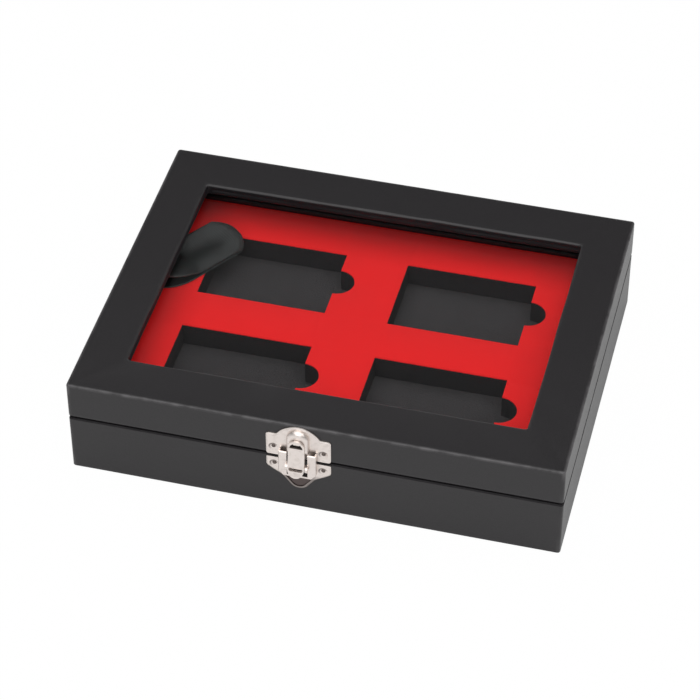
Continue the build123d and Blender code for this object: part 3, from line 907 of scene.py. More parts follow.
@dataclass
class CaseSizes:
    """The case's own sizes, as in the part's source."""

    length: float = 208.0
    width: float = 160.0
    height: float = 46.3
    window_length: float = 168.8
    window_width: float = 117.6
    turned_in: float = 6.0
    inner_length: float = 193.6
    inner_width: float = 145.6
    lid_rim: float = 28.65
    base_rim: float = 27.95
    lining_top: float = 41.1
    base_underside: float = 0.2
    base_turned_in: float = 14.0
    panel_top: float = 3.8
    wrap: float = 0.6
    edge_radius: float = 1.3
    top_round: float = 1.2
    window_corner: float = 1.5
    window_rim: float = 1.8
    window_margin: float = 4.0
    outside_margin: float = 1.5
    reveal_margin: float = 0.1

    def in_window(self, point: Vector) -> bool:
        """True for a place within a small margin of the window."""
        inside_x = abs(point.x) < self.window_length / 2 + self.window_margin
        return inside_x and abs(point.y) < self.window_width / 2 + self.window_margin

    def in_reveal(self, point: Vector) -> bool:
        """True for a place on the window's upright face."""
        top = self.height - self.window_rim + self.reveal_margin
        return self.in_window(point) and self.lining_top < point.z < top

    def on_outside(self, point: Vector) -> bool:
        """True for a place on the outside of the walls."""
        outside_x = abs(point.x) > self.length / 2 - self.outside_margin
        return outside_x or abs(point.y) > self.width / 2 - self.outside_margin

    def on_lining(self, point: Vector) -> bool:
        """True for a place on the inside of the walls."""
        return not self.in_window(point) and not self.on_outside(point)


@dataclass(frozen=True)
class Crease:
    """A level fold of the leatherette, and the round that it gets."""

    height: float
    where: PlaceTest
    radius: float
    segments: int


@dataclass
class WrapMaker:
    """Makes the leatherette of the lid and of the base: folded sheets pulled round their boards."""

    case: CaseSizes
    material: bpy.types.Material
    shaded: bpy.types.Material
    corner_segments: int = 4
    rim_radius: float = 0.8
    base_rim_radius: float = 0.98
    tucked_radius: float = 0.3
    judged_area: float = 50.0
    flat_area: float = 150.0
    flat_margin: float = 0.7
    cuts: tuple[tuple[int, float, int], ...] = ((0, 60.0, 45), (1, 40.0, 33), (2, 5.0, 2))
    reveal_least: float = 1.2
    reveal_cuts: int = 4
    ripple: float = 0.06
    ripple_wave: float = 0.05
    bulge: float = 0.5
    rim_wave: float = 0.35
    rim_noise: PlanNoise = PlanNoise(0.06, 9.1)
    upper_swell: float = 0.25
    upper_least: float = 0.55
    upper_noise: PlanNoise = PlanNoise(0.035, 3.7)
    lower_swell: float = 0.74
    lower_least: float = 0.75
    lower_noise: PlanNoise = PlanNoise(0.08, 5.1)
    swell_wander: float = 0.08
    swell_reach: float = 0.23
    reveal_foot: float = 0.2
    reveal_band: float = 0.4
    shade_below_top: float = 1.2
    shade_under_seam: float = 1.0
    shade_over_seam: float = 0.8
    # Where and how much the edges get of wear and painted highlight
    worn_and_lit_below_top: float = 2.0
    little_wear_and_highlight: float = 0.1
    worn_and_lit_turn: float = 16.0
    pressed_share: float = 0.85
    sharp_angle: float = 40.0

    def corner_edges(self, work: Workpiece, test: PlaceTest) -> list[Edge]:
        """Find the upright edges at the corners of a rectangle.

        Args:
            work: The sheet.
            test: Picks the rectangle.

        Returns:
            The edges.
        """

        def passes(edge: Edge) -> bool:
            """True for an upright edge that the test picks."""
            first, second = (vert.co for vert in edge.verts)
            upright = (first.xy - second.xy).length < TOUCH < abs(first.z - second.z)
            return upright and test(first)

        return work.edges_where(passes)

    def turn_out(self, work: Workpiece, upper: float) -> None:
        """Make every face look out of the sheet, judged by a level one.

        Args:
            work: The sheet.
            upper: Height above which level faces look up, and below which they look down.
        """
        bmesh.ops.recalc_face_normals(work.bm, faces=work.bm.faces)
        level = (face for face in work.bm.faces if abs(face.normal.z) > NEARLY_ALL)
        judge = next(face for face in level if face.calc_area() > self.judged_area)
        if (judge.normal.z > 0) != (judge.calc_center_median().z > upper):
            bmesh.ops.reverse_faces(work.bm, faces=work.bm.faces)

    def fold(self, loops: list[Size], upper: float) -> Workpiece:
        """Fold a sheet through level rectangles.

        Args:
            loops: Length, width and height of each, from one edge of the sheet to the other.
            upper: Height above which its level faces look up, and below which they look down.

        Returns:
            The sheet, with sharp folds.
        """
        work = Workpiece()
        edges = work.rectangle(*loops[0])
        for loop in loops[1:]:
            edges = work.carry(edges, *loop)
        self.turn_out(work, upper)
        return work

    def round_folds(
        self, work: Workpiece, corners: list[tuple[PlaceTest, float]], creases: list[Crease]
    ) -> None:
        """Round a sheet where it turns.

        Args:
            work: The sheet.
            corners: Tests that pick the upright corners, each with the radius that these get.
            creases: The level folds.
        """
        for test, radius in corners:
            work.round_off(self.corner_edges(work, test), radius, self.corner_segments)
        for crease in creases:
            edges = work.edges_where(level_crease(crease.height, crease.where))
            work.round_off(edges, crease.radius, crease.segments)

    def soften(self, work: Workpiece) -> None:
        """Cut the long faces up and let the sheet lie a little unevenly, always inwards.

        Args:
            work: The sheet.
        """
        work.frame_flats(self.flat_area, self.flat_margin)
        for axis, least, cuts in self.cuts:
            work.divide(runs_along(axis, least), cuts)
        upright = runs_along(2, self.reveal_least)
        work.divide(lambda edge: self.case.in_reveal(edge.verts[0].co) and upright(edge), self.reveal_cuts)
        work.bm.normal_update()
        moves = {}
        for vert in work.bm.verts:
            swell = 0.5 + 0.5 * noise.noise(vert.co * self.ripple_wave)
            moves[vert] = vert.normal * -self.ripple * swell
        for vert, move in moves.items():
            vert.co += move

    def swelling(self, point: Vector) -> float:
        """How far the window's edge stands proud of its board, in two soft swells one above the other.

        Args:
            point: A place on the edge.

        Returns:
            The amount, never below 0.
        """
        depth = (self.case.height - point.z) / (self.case.height - self.case.lining_top)
        along = self.upper_noise.at(point)
        wander = self.lower_noise.at(point)
        upper = max(0.0, 1.0 - ((depth - self.upper_swell) / self.swell_reach) ** 2)
        lower_middle = self.lower_swell + self.swell_wander * wander
        lower = max(0.0, 1.0 - ((depth - lower_middle) / self.swell_reach) ** 2)
        amount = self.bulge * (upper * (self.upper_least + along) + lower * (self.lower_least + wander))
        return max(0.0, amount)

    def puff_window(self, work: Workpiece) -> None:
        """Let the turned-in edge of the window sag at its rim and swell below it.

        Args:
            work: The lid's sheet.
        """
        case = self.case
        half = Vector((case.window_length / 2, case.window_width / 2))
        for vert in work.bm.verts:
            if not case.in_window(vert.co) or vert.co.z < case.lining_top + self.reveal_foot:
                continue
            past_x, past_y = abs(vert.co.x) - half.x, abs(vert.co.y) - half.y
            from_edge = max(past_x, past_y) / case.window_rim
            if 0.0 < from_edge < 2.0 and vert.co.z > case.height - case.window_rim:
                wave = max(0.0, 0.5 + self.rim_noise.at(vert.co))
                vert.co.z -= wave * self.rim_wave * math.sin(math.pi / 2 * from_edge)
            amount = self.swelling(vert.co)
            if abs(past_y) < self.reveal_band:
                vert.co.y -= math.copysign(amount, vert.co.y)
            if abs(past_x) < self.reveal_band:
                vert.co.x -= math.copysign(amount, vert.co.x)

    def shade_folds(self, work: Workpiece) -> None:
        """Give the window's edge below its round, and the rims at the seam, a duller copy of the leatherette
        that paints shade into them.

        Args:
            work: The sheet.
        """
        case = self.case
        seam_low = case.base_rim - self.shade_under_seam
        seam_high = case.lid_rim + self.shade_over_seam
        for face in work.bm.faces:
            middle = face.calc_center_median()
            in_reveal = case.in_window(middle) and middle.z < case.height - self.shade_below_top
            # Painted shade: these faces take the duller copy of the leatherette
            if in_reveal or seam_low < middle.z < seam_high:
                face.material_index = 1

    def rubbed_and_lit(self, point: Vector) -> float:
        """Share of the wear and painted highlight at a place: all of it round the lid's top, where the edge
        highlight is painted, and little elsewhere.
        """
        at_top = point.z > self.case.height - self.worn_and_lit_below_top and self.case.on_outside(point)
        return 1.0 if at_top else self.little_wear_and_highlight

    def sheet(self, work: Workpiece, name: str) -> bpy.types.Object:
        """Hand the folded sheet over with its thickness.

        Args:
            work: The sheet.
            name: The piece's name.

        Returns:
            The piece.
        """
        # The wear attribute carries the painted edge highlight too
        work.mark_wear_and_highlight(self.rubbed_and_lit, self.worn_and_lit_turn)
        piece = work.hand_over(name, self.material)
        piece.data.materials.append(self.shaded)
        smooth_by_angle(piece, self.sharp_angle)
        thicken(piece, self.case.wrap * self.pressed_share, -1.0)
        return piece

    def lid(self) -> bpy.types.Object:
        """Make the lid's leatherette, from under its frame through the window to its lining.

        Returns:
            The piece.
        """
        case = self.case
        turned_length = case.window_length + 2 * case.turned_in
        turned_width = case.window_width + 2 * case.turned_in
        loops = [
            (turned_length, turned_width, case.lining_top),
            (case.window_length, case.window_width, case.lining_top),
            (case.window_length, case.window_width, case.height),
            (case.length, case.width, case.height),
            (case.length, case.width, case.lid_rim),
            (case.inner_length, case.inner_width, case.lid_rim),
            (case.inner_length, case.inner_width, case.lining_top),
        ]
        creases = [
            Crease(case.height, case.in_window, case.window_rim, 6),
            Crease(case.height, case.on_outside, case.top_round, 4),
            Crease(case.lid_rim, case.on_outside, self.rim_radius, 3),
            Crease(case.lid_rim, case.on_lining, self.rim_radius, 3),
            Crease(case.lining_top, case.in_window, self.tucked_radius, 2),
        ]
        work = self.fold(loops, upper=case.height - 1.0)
        corners = [(case.in_window, case.window_corner), (case.on_outside, case.edge_radius)]
        self.round_folds(work, corners, creases)
        self.soften(work)
        self.puff_window(work)
        self.shade_folds(work)
        return self.sheet(work, "lid_leatherette")

    def base(self) -> bpy.types.Object:
        """Make the base's leatherette, from under its bottom over the walls to the inside.

        Returns:
            The piece.
        """
        case = self.case
        turned_length = case.length - 2 * case.base_turned_in
        turned_width = case.width - 2 * case.base_turned_in
        loops = [
            (turned_length, turned_width, case.base_underside),
            (case.length, case.width, case.base_underside),
            (case.length, case.width, case.base_rim),
            (case.inner_length, case.inner_width, case.base_rim),
            (case.inner_length, case.inner_width, case.panel_top),
        ]
        creases = [
            Crease(case.base_rim, case.on_outside, self.base_rim_radius, 4),
            Crease(case.base_rim, case.on_lining, self.rim_radius, 3),
            Crease(case.base_underside, case.on_outside, self.tucked_radius, 2),
        ]
        work = self.fold(loops, upper=case.base_rim / 2)
        self.round_folds(work, [(case.on_outside, case.edge_radius)], creases)
        self.soften(work)
        self.shade_folds(work)
        return self.sheet(work, "base_leatherette")


@dataclass
class InsertMaker:
    """Makes the insert: a floor pad, foam with four pockets and the red card on top of it."""

    case: CaseSizes
    pocket_length: float = 57.4
    pocket_width: float = 39.7
    pitch_x: float = 85.1
    pitch_y: float = 61.7
    middle_x: float = -4.4
    notch_radius: float = 7.8
    notch_from_back: float = 18.6
    notch_steps: int = 18
    slot_depth: float = 1.2
    slot_half: float = 9.55
    slot_y: float = 17.8
    card_top: float = 25.65
    foam_top: float = 25.15
    pocket_floor: float = 14.75
    edge_piece: float = 2.4
    outer_margin: float = 0.1
    foam_steps: int = 6
    foam_rough: float = 0.22
    foam_wave: float = 0.35
    foam_sharp: float = 35.0
    card_rough: float = 0.10
    card_wave: float = 0.5
    card_round: float = 0.16
    card_sharp: float = 40.0
    pad_cuts_x: int = 96
    pad_cuts_y: int = 72
    pad_dip: float = 0.35
    pad_wave: float = 0.06
    pad_sharp: float = 40.0

    def outline(self, work: Workpiece, height: float) -> None:
        """Draw the insert's edge, with the ribbon's slot, and its four pockets.

        Args:
            work: What to draw it in.
            height: Its Z.
        """
        half_length = self.case.inner_length / 2
        half_width = self.case.inner_width / 2
        slot_back = self.slot_y + self.slot_half
        slot_front = self.slot_y - self.slot_half
        start = work.bm.verts.new((-half_length, slot_front, height))
        corners = [
            (-half_length, -half_width),
            (half_length, -half_width),
            (half_length, half_width),
            (-half_length, half_width),
            (-half_length, slot_back),
            (-half_length + self.slot_depth, slot_back),
            (-half_length + self.slot_depth, slot_front),
        ]
        last = work.draw_line(start, corners)
        work.bm.edges.new((last, start))
        for side_x in (-1, 1):
            for side_y in (-1, 1):
                middle = (self.middle_x + side_x * self.pitch_x / 2, side_y * self.pitch_y / 2)
                self.pocket(work, middle, height)

    def pocket(self, work: Workpiece, middle: Pair, height: float) -> None:
        """Draw one pocket's edge: a rectangle with a round finger notch on its right.

        Args:
            work: What to draw it in.
            middle: X and Y of the rectangle's middle.
            height: Its Z.
        """
        left = middle[0] - self.pocket_length / 2
        right = middle[0] + self.pocket_length / 2
        front = middle[1] - self.pocket_width / 2
        back = middle[1] + self.pocket_width / 2
        notch_y = back - self.notch_from_back
        start = work.bm.verts.new((right, notch_y - self.notch_radius, height))
        notch_end = work.draw_arc(start, (right, notch_y), 180.0, self.notch_steps)
        last = work.draw_line(notch_end, [(right, back), (left, back), (left, front), (right, front)])
        work.bm.edges.new((last, start))

    def layer(self, low: float, high: float, steps: int) -> Workpiece:
        """Make a layer with the pockets through it.

        Each step but the last also leaves its level faces inside the layer, where they don't show.

        Args:
            low: Its lowest Z.
            high: Its highest Z.
            steps: Faces up its walls.

        Returns:
            The layer, closed on the outside.
        """
        work = Workpiece()
        self.outline(work, high)
        bmesh.ops.remove_doubles(work.bm, verts=work.bm.verts, dist=0.001)
        for edge in list(work.bm.edges):
            cuts = int(edge.calc_length() / self.edge_piece)
            if cuts:
                bmesh.ops.subdivide_edges(work.bm, edges=[edge], cuts=cuts)
        bmesh.ops.triangle_fill(work.bm, use_beauty=True, edges=work.bm.edges, normal=(0.0, 0.0, 1.0))
        faces = list(work.bm.faces)
        for step in range(steps):
            made = bmesh.ops.extrude_face_region(work.bm, geom=faces, use_keep_orig=step == 0)["geom"]
            verts = [part for part in made if isinstance(part, bmesh.types.BMVert)]
            faces = [part for part in made if isinstance(part, bmesh.types.BMFace)]
            bmesh.ops.translate(work.bm, vec=(0.0, 0.0, (low - high) / steps), verts=verts)
        bmesh.ops.recalc_face_normals(work.bm, faces=work.bm.faces)
        return work

    def near_pocket(self, point: Vector) -> bool:
        """True for a place that isn't on the insert's outer edge."""
        inside_x = abs(point.x) < self.case.inner_length / 2 - self.slot_depth - self.outer_margin
        return inside_x and abs(point.y) < self.case.inner_width / 2 - self.outer_margin

    def roughen(self, work: Workpiece, amount: float, wave: float) -> None:
        """Move the pocket walls in and out in plan, as a knife leaves them.

        The noise has no seed, so the walls differ by a few tenths of a millimetre from run to run.

        Args:
            work: The layer.
            amount: How far, in millimetres.
            wave: Waves to a millimetre.
        """
        for vert in work.bm.verts:
            if self.near_pocket(vert.co):
                push = noise.noise_vector(vert.co * wave) * amount
                vert.co.x += push.x
                vert.co.y += push.y

    def foam(self, material: bpy.types.Material) -> bpy.types.Object:
        """Make the foam with the four pockets cut through it.

        Args:
            material: Its finish.

        Returns:
            The piece.
        """
        work = self.layer(self.pocket_floor, self.foam_top, self.foam_steps)
        self.roughen(work, self.foam_rough, self.foam_wave)
        piece = work.hand_over("pocket_foam", material)
        smooth_by_angle(piece, self.foam_sharp)
        return piece

    def card(self, material: bpy.types.Material) -> bpy.types.Object:
        """Make the red flocked card, with a soft edge round each pocket.

        Args:
            material: Its finish.

        Returns:
            The piece.
        """
        work = self.layer(self.foam_top, self.card_top, 1)
        self.roughen(work, self.card_rough, self.card_wave)
        rims = work.edges_where(level_crease(self.card_top, self.near_pocket))
        work.round_off(rims, self.card_round, 2)
        piece = work.hand_over("red_card", material)
        smooth_by_angle(piece, self.card_sharp)
        return piece

    def floor_pad(self, material: bpy.types.Material) -> bpy.types.Object:
        """Make the pad at the bottom of the pockets, with a slightly uneven top.

        Args:
            material: Its finish.

        Returns:
            The piece.
        """
        work = Workpiece()
        top = work.grid(self.pad_cuts_x, self.pad_cuts_y)
        bmesh.ops.scale(work.bm, vec=(self.case.inner_length, self.case.inner_width, 1.0), verts=top)
        bmesh.ops.translate(work.bm, vec=(0.0, 0.0, self.pocket_floor), verts=top)
        bottom = bmesh.ops.extrude_face_region(work.bm, geom=work.bm.faces[:], use_keep_orig=True)["geom"]
        verts = [part for part in bottom if isinstance(part, bmesh.types.BMVert)]
        bmesh.ops.translate(work.bm, vec=(0.0, 0.0, self.case.panel_top - self.pocket_floor), verts=verts)
        for vert in top:
            dip = 0.5 + 0.5 * noise.fractal(vert.co * self.pad_wave, 1.0, 2.0, 3)
            vert.co.z -= self.pad_dip * min(1.0, max(0.0, dip))
        bmesh.ops.recalc_face_normals(work.bm, faces=work.bm.faces)
        piece = work.hand_over("floor_pad", material)
        smooth_by_angle(piece, self.pad_sharp)
        return piece


@dataclass
class TapePath:
    """The running end of the ribbon as it is laid: its place, heading and climb in degrees."""

    place: Vector
    heading: float = 0.0
    climb: float = 90.0
    length: float = 0.0
    frames: list[tuple[float, Matrix]] = field(default_factory=list)

    def mark(self) -> None:
        """Note the frame here: X along the tape, Y across it, Z out of its face."""
        heading, climb = math.radians(self.heading), math.radians(self.climb)
        level = Vector((math.cos(heading), math.sin(heading), 0.0))
        across = Vector((-math.sin(heading), math.cos(heading), 0.0))
        along = level * math.cos(climb) + Vector((0.0, 0.0, 1.0)) * math.sin(climb)
        out = along.cross(across)
        turn = Matrix((along, across, out)).transposed().to_4x4()
        self.frames.append((self.length, Matrix.Translation(self.place) @ turn))

    def lay(self, length: float, steps: int = 1, turn: float = 0.0, bend: float = 0.0) -> None:
        """Lay a length of the tape in equal chords.

        Args:
            length: How much tape to lay.
            steps: Number of chords.
            turn: How far it turns round +Z on the way, in degrees.
            bend: How far it bends upwards on the way, in degrees.
        """
        for _ in range(steps):
            half_turn = math.radians(turn / steps / 2)
            half_bend = math.radians(bend / steps / 2)
            chord = length / steps * chord_share(half_turn) * chord_share(half_bend)
            heading = math.radians(self.heading) + half_turn
            climb = math.radians(self.climb) + half_bend
            flat = math.cos(climb)
            step = Vector((math.cos(heading) * flat, math.sin(heading) * flat, math.sin(climb)))
            self.place = self.place + step * chord
            self.heading += turn / steps
            self.climb += bend / steps
            self.length += length / steps
            self.mark()


def chord_share(half_angle: float) -> float:
    """How long a chord is as a share of its arc."""
    return math.sin(half_angle) / half_angle if half_angle else 1.0


@dataclass
class RibbonMaker:
    """Makes the satin stay: up from its slot, out over the card, folded back and up the lid's wall."""

    case: CaseSizes
    width: float = 18.5
    thickness: float = 0.35
    tab: float = 9.0
    base_y: float = 17.8
    lift: float = 0.2
    half_gap: float = 0.25
    slope: float = 0.8
    bend_radius: float = 1.6
    turn_run: float = 9.3
    turn: float = 56.0
    straight_run: float = 28.4
    fold_radius: float = 3.4
    lid_end: float = 37.5
    card_top: float = 25.65
    end_steps: int = 4
    bend_steps: int = 6
    turn_steps: int = 8
    back_steps: int = 10
    run_steps: int = 12
    fold_steps: int = 18
    cross_steps: int = 20
    pull: float = 5.0
    pull_run: float = 18.0
    pull_neutral: float = 0.3
    sunk_fade: float = 14.0
    sunk_front: float = 0.14
    sunk_over: float = 0.5
    round_width: float = 1.3
    wave_start: float = 12.0
    wave_length: float = 2.0
    wave_middle: float = -0.12
    wave_height: float = 1.05
    sharp_angle: float = 60.0
    blend_low: float = 0.6
    blend_high: float = 7.0
    fold_middle: float = field(default=0.0, init=False)
    bend_start: float = field(default=0.0, init=False)

    def wall_x(self) -> float:
        """X of the tape's middle where it stands against the left wall."""
        return -self.case.inner_length / 2 + self.half_gap

    def low_z(self) -> float:
        """Z of the lower run's middle where it leaves the wall."""
        return self.card_top + self.lift + self.half_gap

    def go_back(self, path: TapePath, straight: float) -> None:
        """Lay the upper run: straight towards the wall, a turn square to it and a bend up it.

        Args:
            path: The ribbon so far.
            straight: Length of the straight part.
        """
        wall_bend = 90.0 - self.slope
        path.lay(straight, self.back_steps)
        path.lay(self.turn_run, self.turn_steps, turn=-path.heading)
        path.lay(math.radians(wall_bend) * self.bend_radius, self.bend_steps, bend=-wall_bend)

    def path(self) -> TapePath:
        """Lay the whole line of the ribbon, and note where it folds and where it bends up the lid.

        Returns:
            The line.
        """
        wall_bend = 90.0 - self.slope
        fold_bend = 180.0 - 2 * self.slope
        flat_share = math.cos(math.radians(self.slope))
        tape = TapePath(Vector((self.wall_x(), self.base_y, self.card_top - self.tab)))
        tape.mark()
        tape.lay(self.tab + self.low_z() - self.card_top - self.bend_radius * flat_share, self.end_steps)
        tape.lay(math.radians(wall_bend) * self.bend_radius, self.bend_steps, bend=-wall_bend)
        tape.lay(self.turn_run, self.turn_steps, turn=self.turn)
        tape.lay(self.straight_run, self.run_steps)
        self.fold_middle = tape.length + math.radians(fold_bend) * self.fold_radius / 2
        tape.lay(math.radians(fold_bend) * self.fold_radius, self.fold_steps, bend=fold_bend)
        trial = TapePath(tape.place.copy(), tape.heading, tape.climb)
        self.go_back(trial, 0.0)
        straight_share = math.cos(math.radians(tape.heading)) * flat_share
        self.go_back(tape, (trial.place.x - self.wall_x()) / straight_share)
        self.bend_start = tape.length - math.radians(wall_bend) * self.bend_radius
        tape.lay(self.lid_end - tape.place.z, self.end_steps)
        return tape

    def drawn_back(self, along: float, side: float) -> Vector:
        """How far the loose fold moves a place on the ribbon: its edges back and its middle out.

        Args:
            along: Distance along the ribbon.
            side: From -1 at one edge to 1 at the other.

        Returns:
            The move, level and along the straight runs.
        """
        away = min(1.0, abs(along - self.fold_middle) / self.pull_run)
        share = math.cos(math.pi / 2 * away) ** 2
        heading = math.radians(self.turn)
        run = Vector((math.cos(heading), math.sin(heading), 0.0))
        return run * self.pull * share * (self.pull_neutral - abs(side) ** 3)

    def waved(self, side: float) -> float:
        """A place across the ribbon, moved along by the wave in its upper run."""
        swing = math.tau / self.wave_length
        return side - self.wave_height / swing * math.sin(swing * (side - self.wave_middle))

    def height_kept(self, along: float, side: float) -> float:
        """The share of its height that the upper run keeps: round at the fold, in soft waves behind it.

        Args:
            along: Distance along the ribbon.
            side: From -1 at the front edge to 1 at the back one.

        Returns:
            The share, from 0 to 1.
        """
        front, back = self.waved(-1.0), self.waved(1.0)
        behind = min(1.0, abs(along - self.fold_middle) / self.wave_start)
        across = min(1.0, (side + 1.0) / self.round_width)
        rounded = across * (2.0 - across)
        share = rounded + behind * ((self.waved(side) - front) / (back - front) - rounded)
        return self.sunk_front + (1.0 - self.sunk_front) * share

    def sink_front(self, point: Vector, along: float, side: float) -> None:
        """Let the front edge of the upper run rest on the lower run, with its back edge left up.

        Args:
            point: The place on the ribbon, which is moved.
            along: Distance along the ribbon.
            side: From -1 at the front edge to 1 at the back one.
        """
        lower = self.low_z() + self.sunk_over
        above = point.z - lower
        before_wall = min(1.0, max(0.0, (self.bend_start - along) / self.sunk_fade))
        if above <= 0.0 or before_wall == 0.0:
            return
        point.z = lower + above * (1.0 - before_wall * (1.0 - self.height_kept(along, side)))

    def cloth(self, tape: TapePath) -> Workpiece:
        """Lay a strip of cloth along a line.

        Args:
            tape: The line.

        Returns:
            The strip, with its UV map.
        """
        work = Workpiece()
        work.bm.loops.layers.uv.new("tape")
        segments = len(tape.frames) - 1
        rows: dict[int, list[bmesh.types.BMVert]] = {}
        for vert in work.grid(segments, self.cross_steps):
            rows.setdefault(round((vert.co.x + 0.5) * segments), []).append(vert)
        for row, (along, place) in enumerate(tape.frames):
            for vert in rows[row]:
                side = 2.0 * vert.co.y
                flat = Vector((0.0, vert.co.y * self.width, 0.0))
                vert.co = place @ flat + self.drawn_back(along, side)
                self.sink_front(vert.co, along, side)
        return work

    def make(self, material: bpy.types.Material) -> bpy.types.Object:
        """Args:
            material: Its finish.

        Returns:
            The piece.
        """
        tape = self.path()
        piece = self.cloth(tape).hand_over("ribbon", material)
        smooth_by_angle(piece, self.sharp_angle)
        thicken(piece, self.thickness, 0.0)
        apply_modifiers(piece)
        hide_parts("ribbon_stay")
        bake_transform(piece)
        log.info("%s: %.1f mm long", piece.name, tape.length)
        return piece


@dataclass
class NodeDresser:
    """Gives the frame's own nodes their finishes."""

    finishes: dict[Finish, bpy.types.Material]

    def dress(self, finish: Finish, nodes: Iterable[str]) -> None:
        """Put a finish in every material slot of some nodes.

        Args:
            finish: The finish.
            nodes: The nodes' names.
        """
        for node in nodes:
            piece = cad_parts[node]
            if not piece.material_slots:
                piece.data.materials.append(self.finishes[finish])
            for slot in piece.material_slots:
                slot.material = self.finishes[finish]
            log.info("%s: %s", node, finish.value)


@dataclass(frozen=True)
class Lamp:
    """A soft lamp that faces down, tilted by some degrees towards the back."""

    name: str
    place: Size
    tilt: float
    width: float
    depth: float
    power: float

    def hang(self) -> None:
        """Add the lamp to the scene."""
        light = bpy.data.lights.new(self.name, "AREA")
        light.shape = "RECTANGLE"
        light.size = self.width
        light.size_y = self.depth
        light.energy = self.power
        lamp = bpy.data.objects.new(self.name, light)
        bpy.context.scene.collection.objects.link(lamp)
        lamp.location = self.place
        lamp.rotation_euler = (math.radians(self.tilt), 0.0, 0.0)


@dataclass
class Studio:
    """A pale table, a quiet room, soft lamps and the camera."""

    lamps: tuple[Lamp, ...] = (
        Lamp("overhead lamp", (0.3, -0.1, 1.5), tilt=0.0, width=3.0, depth=1.9, power=28.5),
        Lamp("front lamp", (-0.1, -1.5, 1.3), tilt=49.0, width=1.3, depth=1.3, power=12.2),
    )
    azimuth: float = 14.21
    elevation: float = 42.65
    roll: float = -0.027
    distance: float = 1.1722
    aim: Size = (-0.00242, -0.00691, 0.02347)
    lens: float = 141.33
    sensor: float = 36.0
    clip_end: float = 100.0
    table_size: float = 30.0
    table_drop: float = 0.0001
    table_colour: Colour = (0.86, 0.86, 0.86)
    table_glow: float = 0.99
    table_in_mirrors: float = 0.45
    room_low: float = 0.85
    room_high: float = 0.13
    room_fall: float = 0.6

    def make_table(self) -> bpy.types.Material:
        """Build the table's finish: white above, with the object's shadow on it, and clear from below.

        Returns:
            The material.
        """
        bench = FinishBench("table", self.table_colour, 1.0, Specular_IOR_Level=0.0)
        path = bench.add("ShaderNodeLightPath").outputs
        direct = bench.times(path["Is Camera Ray"], self.table_glow)
        mirrored = bench.times(path["Is Glossy Ray"], self.table_in_mirrors)
        through = bench.times(path["Is Transmission Ray"], self.table_glow)
        share = bench.maths("MINIMUM", bench.plus(bench.plus(direct, mirrored), through), 1.0)
        glow = bench.add("ShaderNodeEmission", {"Color": (*WHITE, 1.0), "Strength": 1.0}).outputs[0]
        top = bench.mix_shaders(share, bench.shader.outputs[0], glow)
        below = bench.add("ShaderNodeNewGeometry").outputs["Backfacing"]
        return bench.finish_with(bench.mix_shaders(below, top, bench.clear()))

    def lay_table(self) -> None:
        """Lay the table a little under the object."""
        work = Workpiece()
        verts = work.grid(1, 1, self.table_size / MM)
        bmesh.ops.translate(work.bm, vec=(0.0, 0.0, -self.table_drop / MM), verts=verts)
        table = work.hand_over("table", self.make_table())

    def light_room(self) -> None:
        """Fill the room: white behind the object, and dimmer overhead for the lamps to work in."""
        world = bpy.data.worlds.new("room")
        bpy.context.scene.world = world
        world.use_nodes = True
        bench = NodeBench(world.node_tree)
        upwards = bench.split(bench.add("ShaderNodeTexCoord").outputs["Generated"])[2]
        lit = bench.spread(upwards, self.room_low, self.room_high, 0.0, self.room_fall, curve="SMOOTHSTEP")
        seen = bench.add("ShaderNodeLightPath").outputs["Is Camera Ray"]
        ground = bench.tree.nodes["Background"]
        bench.tree.links.new(bench.maths("MAXIMUM", lit, seen), ground.inputs["Strength"])
        ground.inputs["Color"].default_value = (*WHITE, 1.0)

    def set_camera(self) -> None:
        """Set the camera where the photograph was taken from."""
        azimuth, elevation = math.radians(self.azimuth), math.radians(self.elevation)
        level = math.cos(elevation)
        back = Vector((math.sin(azimuth) * level, -math.cos(azimuth) * level, math.sin(elevation)))
        right = Vector((math.cos(azimuth), math.sin(azimuth), 0.0))
        up = back.cross(right)
        axes = Matrix((right, up, back)).transposed() @ Matrix.Rotation(math.radians(self.roll), 3, "Z")
        lens = bpy.data.cameras.new("camera")
        lens.lens = self.lens
        lens.sensor_width = self.sensor
        lens.clip_end = self.clip_end
        camera = bpy.data.objects.new("camera", lens)
        bpy.context.scene.collection.objects.link(camera)
        camera.matrix_world = Matrix.Translation(Vector(self.aim) + back * self.distance) @ axes.to_4x4()
        bpy.context.scene.camera = camera

    def build(self) -> None:
        """Set the whole studio up."""
        self.lay_table()
        self.light_room()
        for lamp in self.lamps:
            lamp.hang()
        self.set_camera()
        bpy.context.scene.view_settings.view_transform = "Standard"


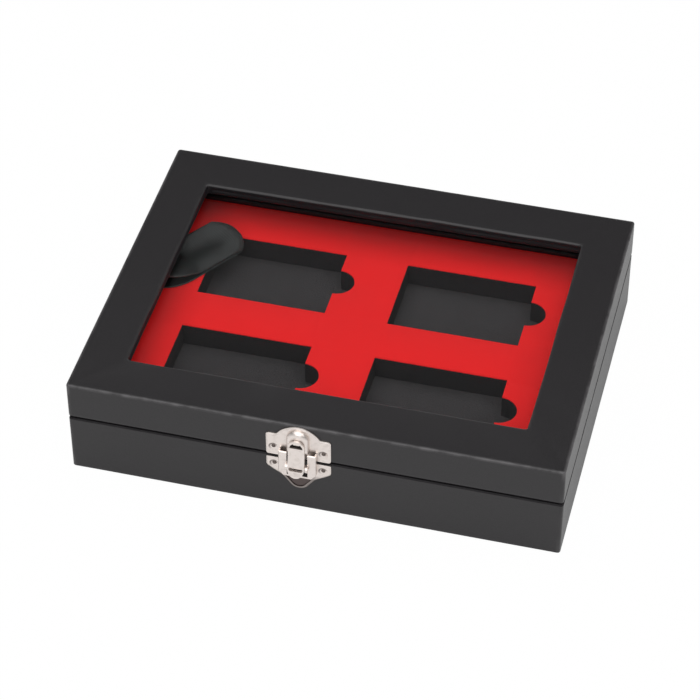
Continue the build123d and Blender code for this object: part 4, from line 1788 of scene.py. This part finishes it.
def make_finishes(shade_marks: LatchShadeMarks) -> dict[Finish, bpy.types.Material]:
    """Make every finish of the box.

    Args:
        shade_marks: Where painted shade goes on the latch's plates.

    Returns:
        The materials.
    """
    upper = NickelPlate("nickel upper plate", nails=shade_marks.upper_nails)
    lower = NickelPlate("nickel lower plate", shaded_tip_top=shade_marks.shaded_tip_top, nails=shade_marks.lower_nails)
    # Nail heads far darker than bright steel: partly their own tone, partly painted shade in their sunk
    # dimples
    nails = NickelPlate("nail steel with painted shade", colour=(0.14, 0.115, 0.105), dull=(0.07, 0.055, 0.05))
    liner = BlackPaper("liner paper", (0.018, 0.018, 0.020), (0.042, 0.042, 0.046), 0.8)
    beads = BlackPaper("bead card", (0.010, 0.009, 0.010), (0.024, 0.022, 0.023), 0.6)
    makers = {
        Finish.LEATHERETTE: Leatherette(),
        # A duller, less glossy copy of the leatherette, which paints shade into the window's edge and the
        # seam
        Finish.SHADED_FOLDS: Leatherette("leatherette with painted shade", roughness=0.6, specular=0.2),
        Finish.NICKEL: NickelPlate(),
        Finish.UPPER_PLATE: upper,
        Finish.LOWER_PLATE: lower,
        Finish.NAILS: nails,
        Finish.PANE: ClearPane(),
        Finish.BOARD: Fibreboard(),
        Finish.LINER: liner,
        Finish.BEADS: beads,
        Finish.FLOCK: RedFlock(),
        Finish.FOAM: FoamFinish("pocket foam", (0.014, 0.012, 0.013), (0.029, 0.025, 0.027)),
        Finish.PAD: FoamFinish("floor pad", (0.029, 0.026, 0.027), (0.056, 0.051, 0.053)),
        Finish.SATIN: Satin(),
    }
    return {finish: maker.make() for finish, maker in makers.items()}


def dress_nodes(dresser: NodeDresser) -> None:
    """Dress the nodes that stay as the frame has them.

    Args:
        dresser: What puts the finishes on.
    """
    sides = ("front", "back", "left", "right")
    walls = [f"{half}_{side}_wall" for half in ("base", "lid") for side in sides]
    leaves = [f"hinge_{side}_{leaf}_leaf" for side in ("left", "right") for leaf in ("lower", "upper")]
    pins = ["latch_pivot_pin", "hinge_left_pin", "hinge_right_pin"]
    dresser.dress(Finish.BOARD, [*walls, "base_bottom_panel", "lid_top_frame"])
    dresser.dress(Finish.LINER, ["bottom_liner"])
    dresser.dress(Finish.PANE, ["window_pane"])
    dresser.dress(Finish.BEADS, [f"window_bead_{side}" for side in sides])
    dresser.dress(Finish.NICKEL, ["latch_lever", *leaves, *pins])
    dresser.dress(Finish.UPPER_PLATE, ["latch_upper_plate"])
    dresser.dress(Finish.LOWER_PLATE, ["latch_lower_plate"])
    nailed = [f"{plate}_{half}_nails" for plate in ("latch", "hinge") for half in ("upper", "lower")]
    dresser.dress(Finish.NAILS, nailed)


def main() -> None:
    """Dress the box and light it."""
    logging.basicConfig(level=logging.INFO, format="%(message)s")
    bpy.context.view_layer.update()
    case = CaseSizes()
    finishes = make_finishes(LatchShadeMarks())

    wraps = WrapMaker(case, finishes[Finish.LEATHERETTE], finishes[Finish.SHADED_FOLDS])
    stand_in(wraps.lid(), Body.LID, "leatherette", "lid_wrap")
    stand_in(wraps.base(), Body.BASE, "leatherette", "base_wrap")

    insert = InsertMaker(case)
    pad = insert.floor_pad(finishes[Finish.PAD])
    stand_in(pad, Body.BASE, "black_foam", "insert_floor_pad")
    foam = insert.foam(finishes[Finish.FOAM])
    stand_in(foam, Body.BASE, "black_foam", "insert_foam")
    card = insert.card(finishes[Finish.FLOCK])
    stand_in(card, Body.BASE, "red_flock", "insert_red_panel")

    RibbonMaker(case).make(finishes[Finish.SATIN])
    dress_nodes(NodeDresser(finishes))
    Studio().build()


if __name__ == "__main__":
    main()
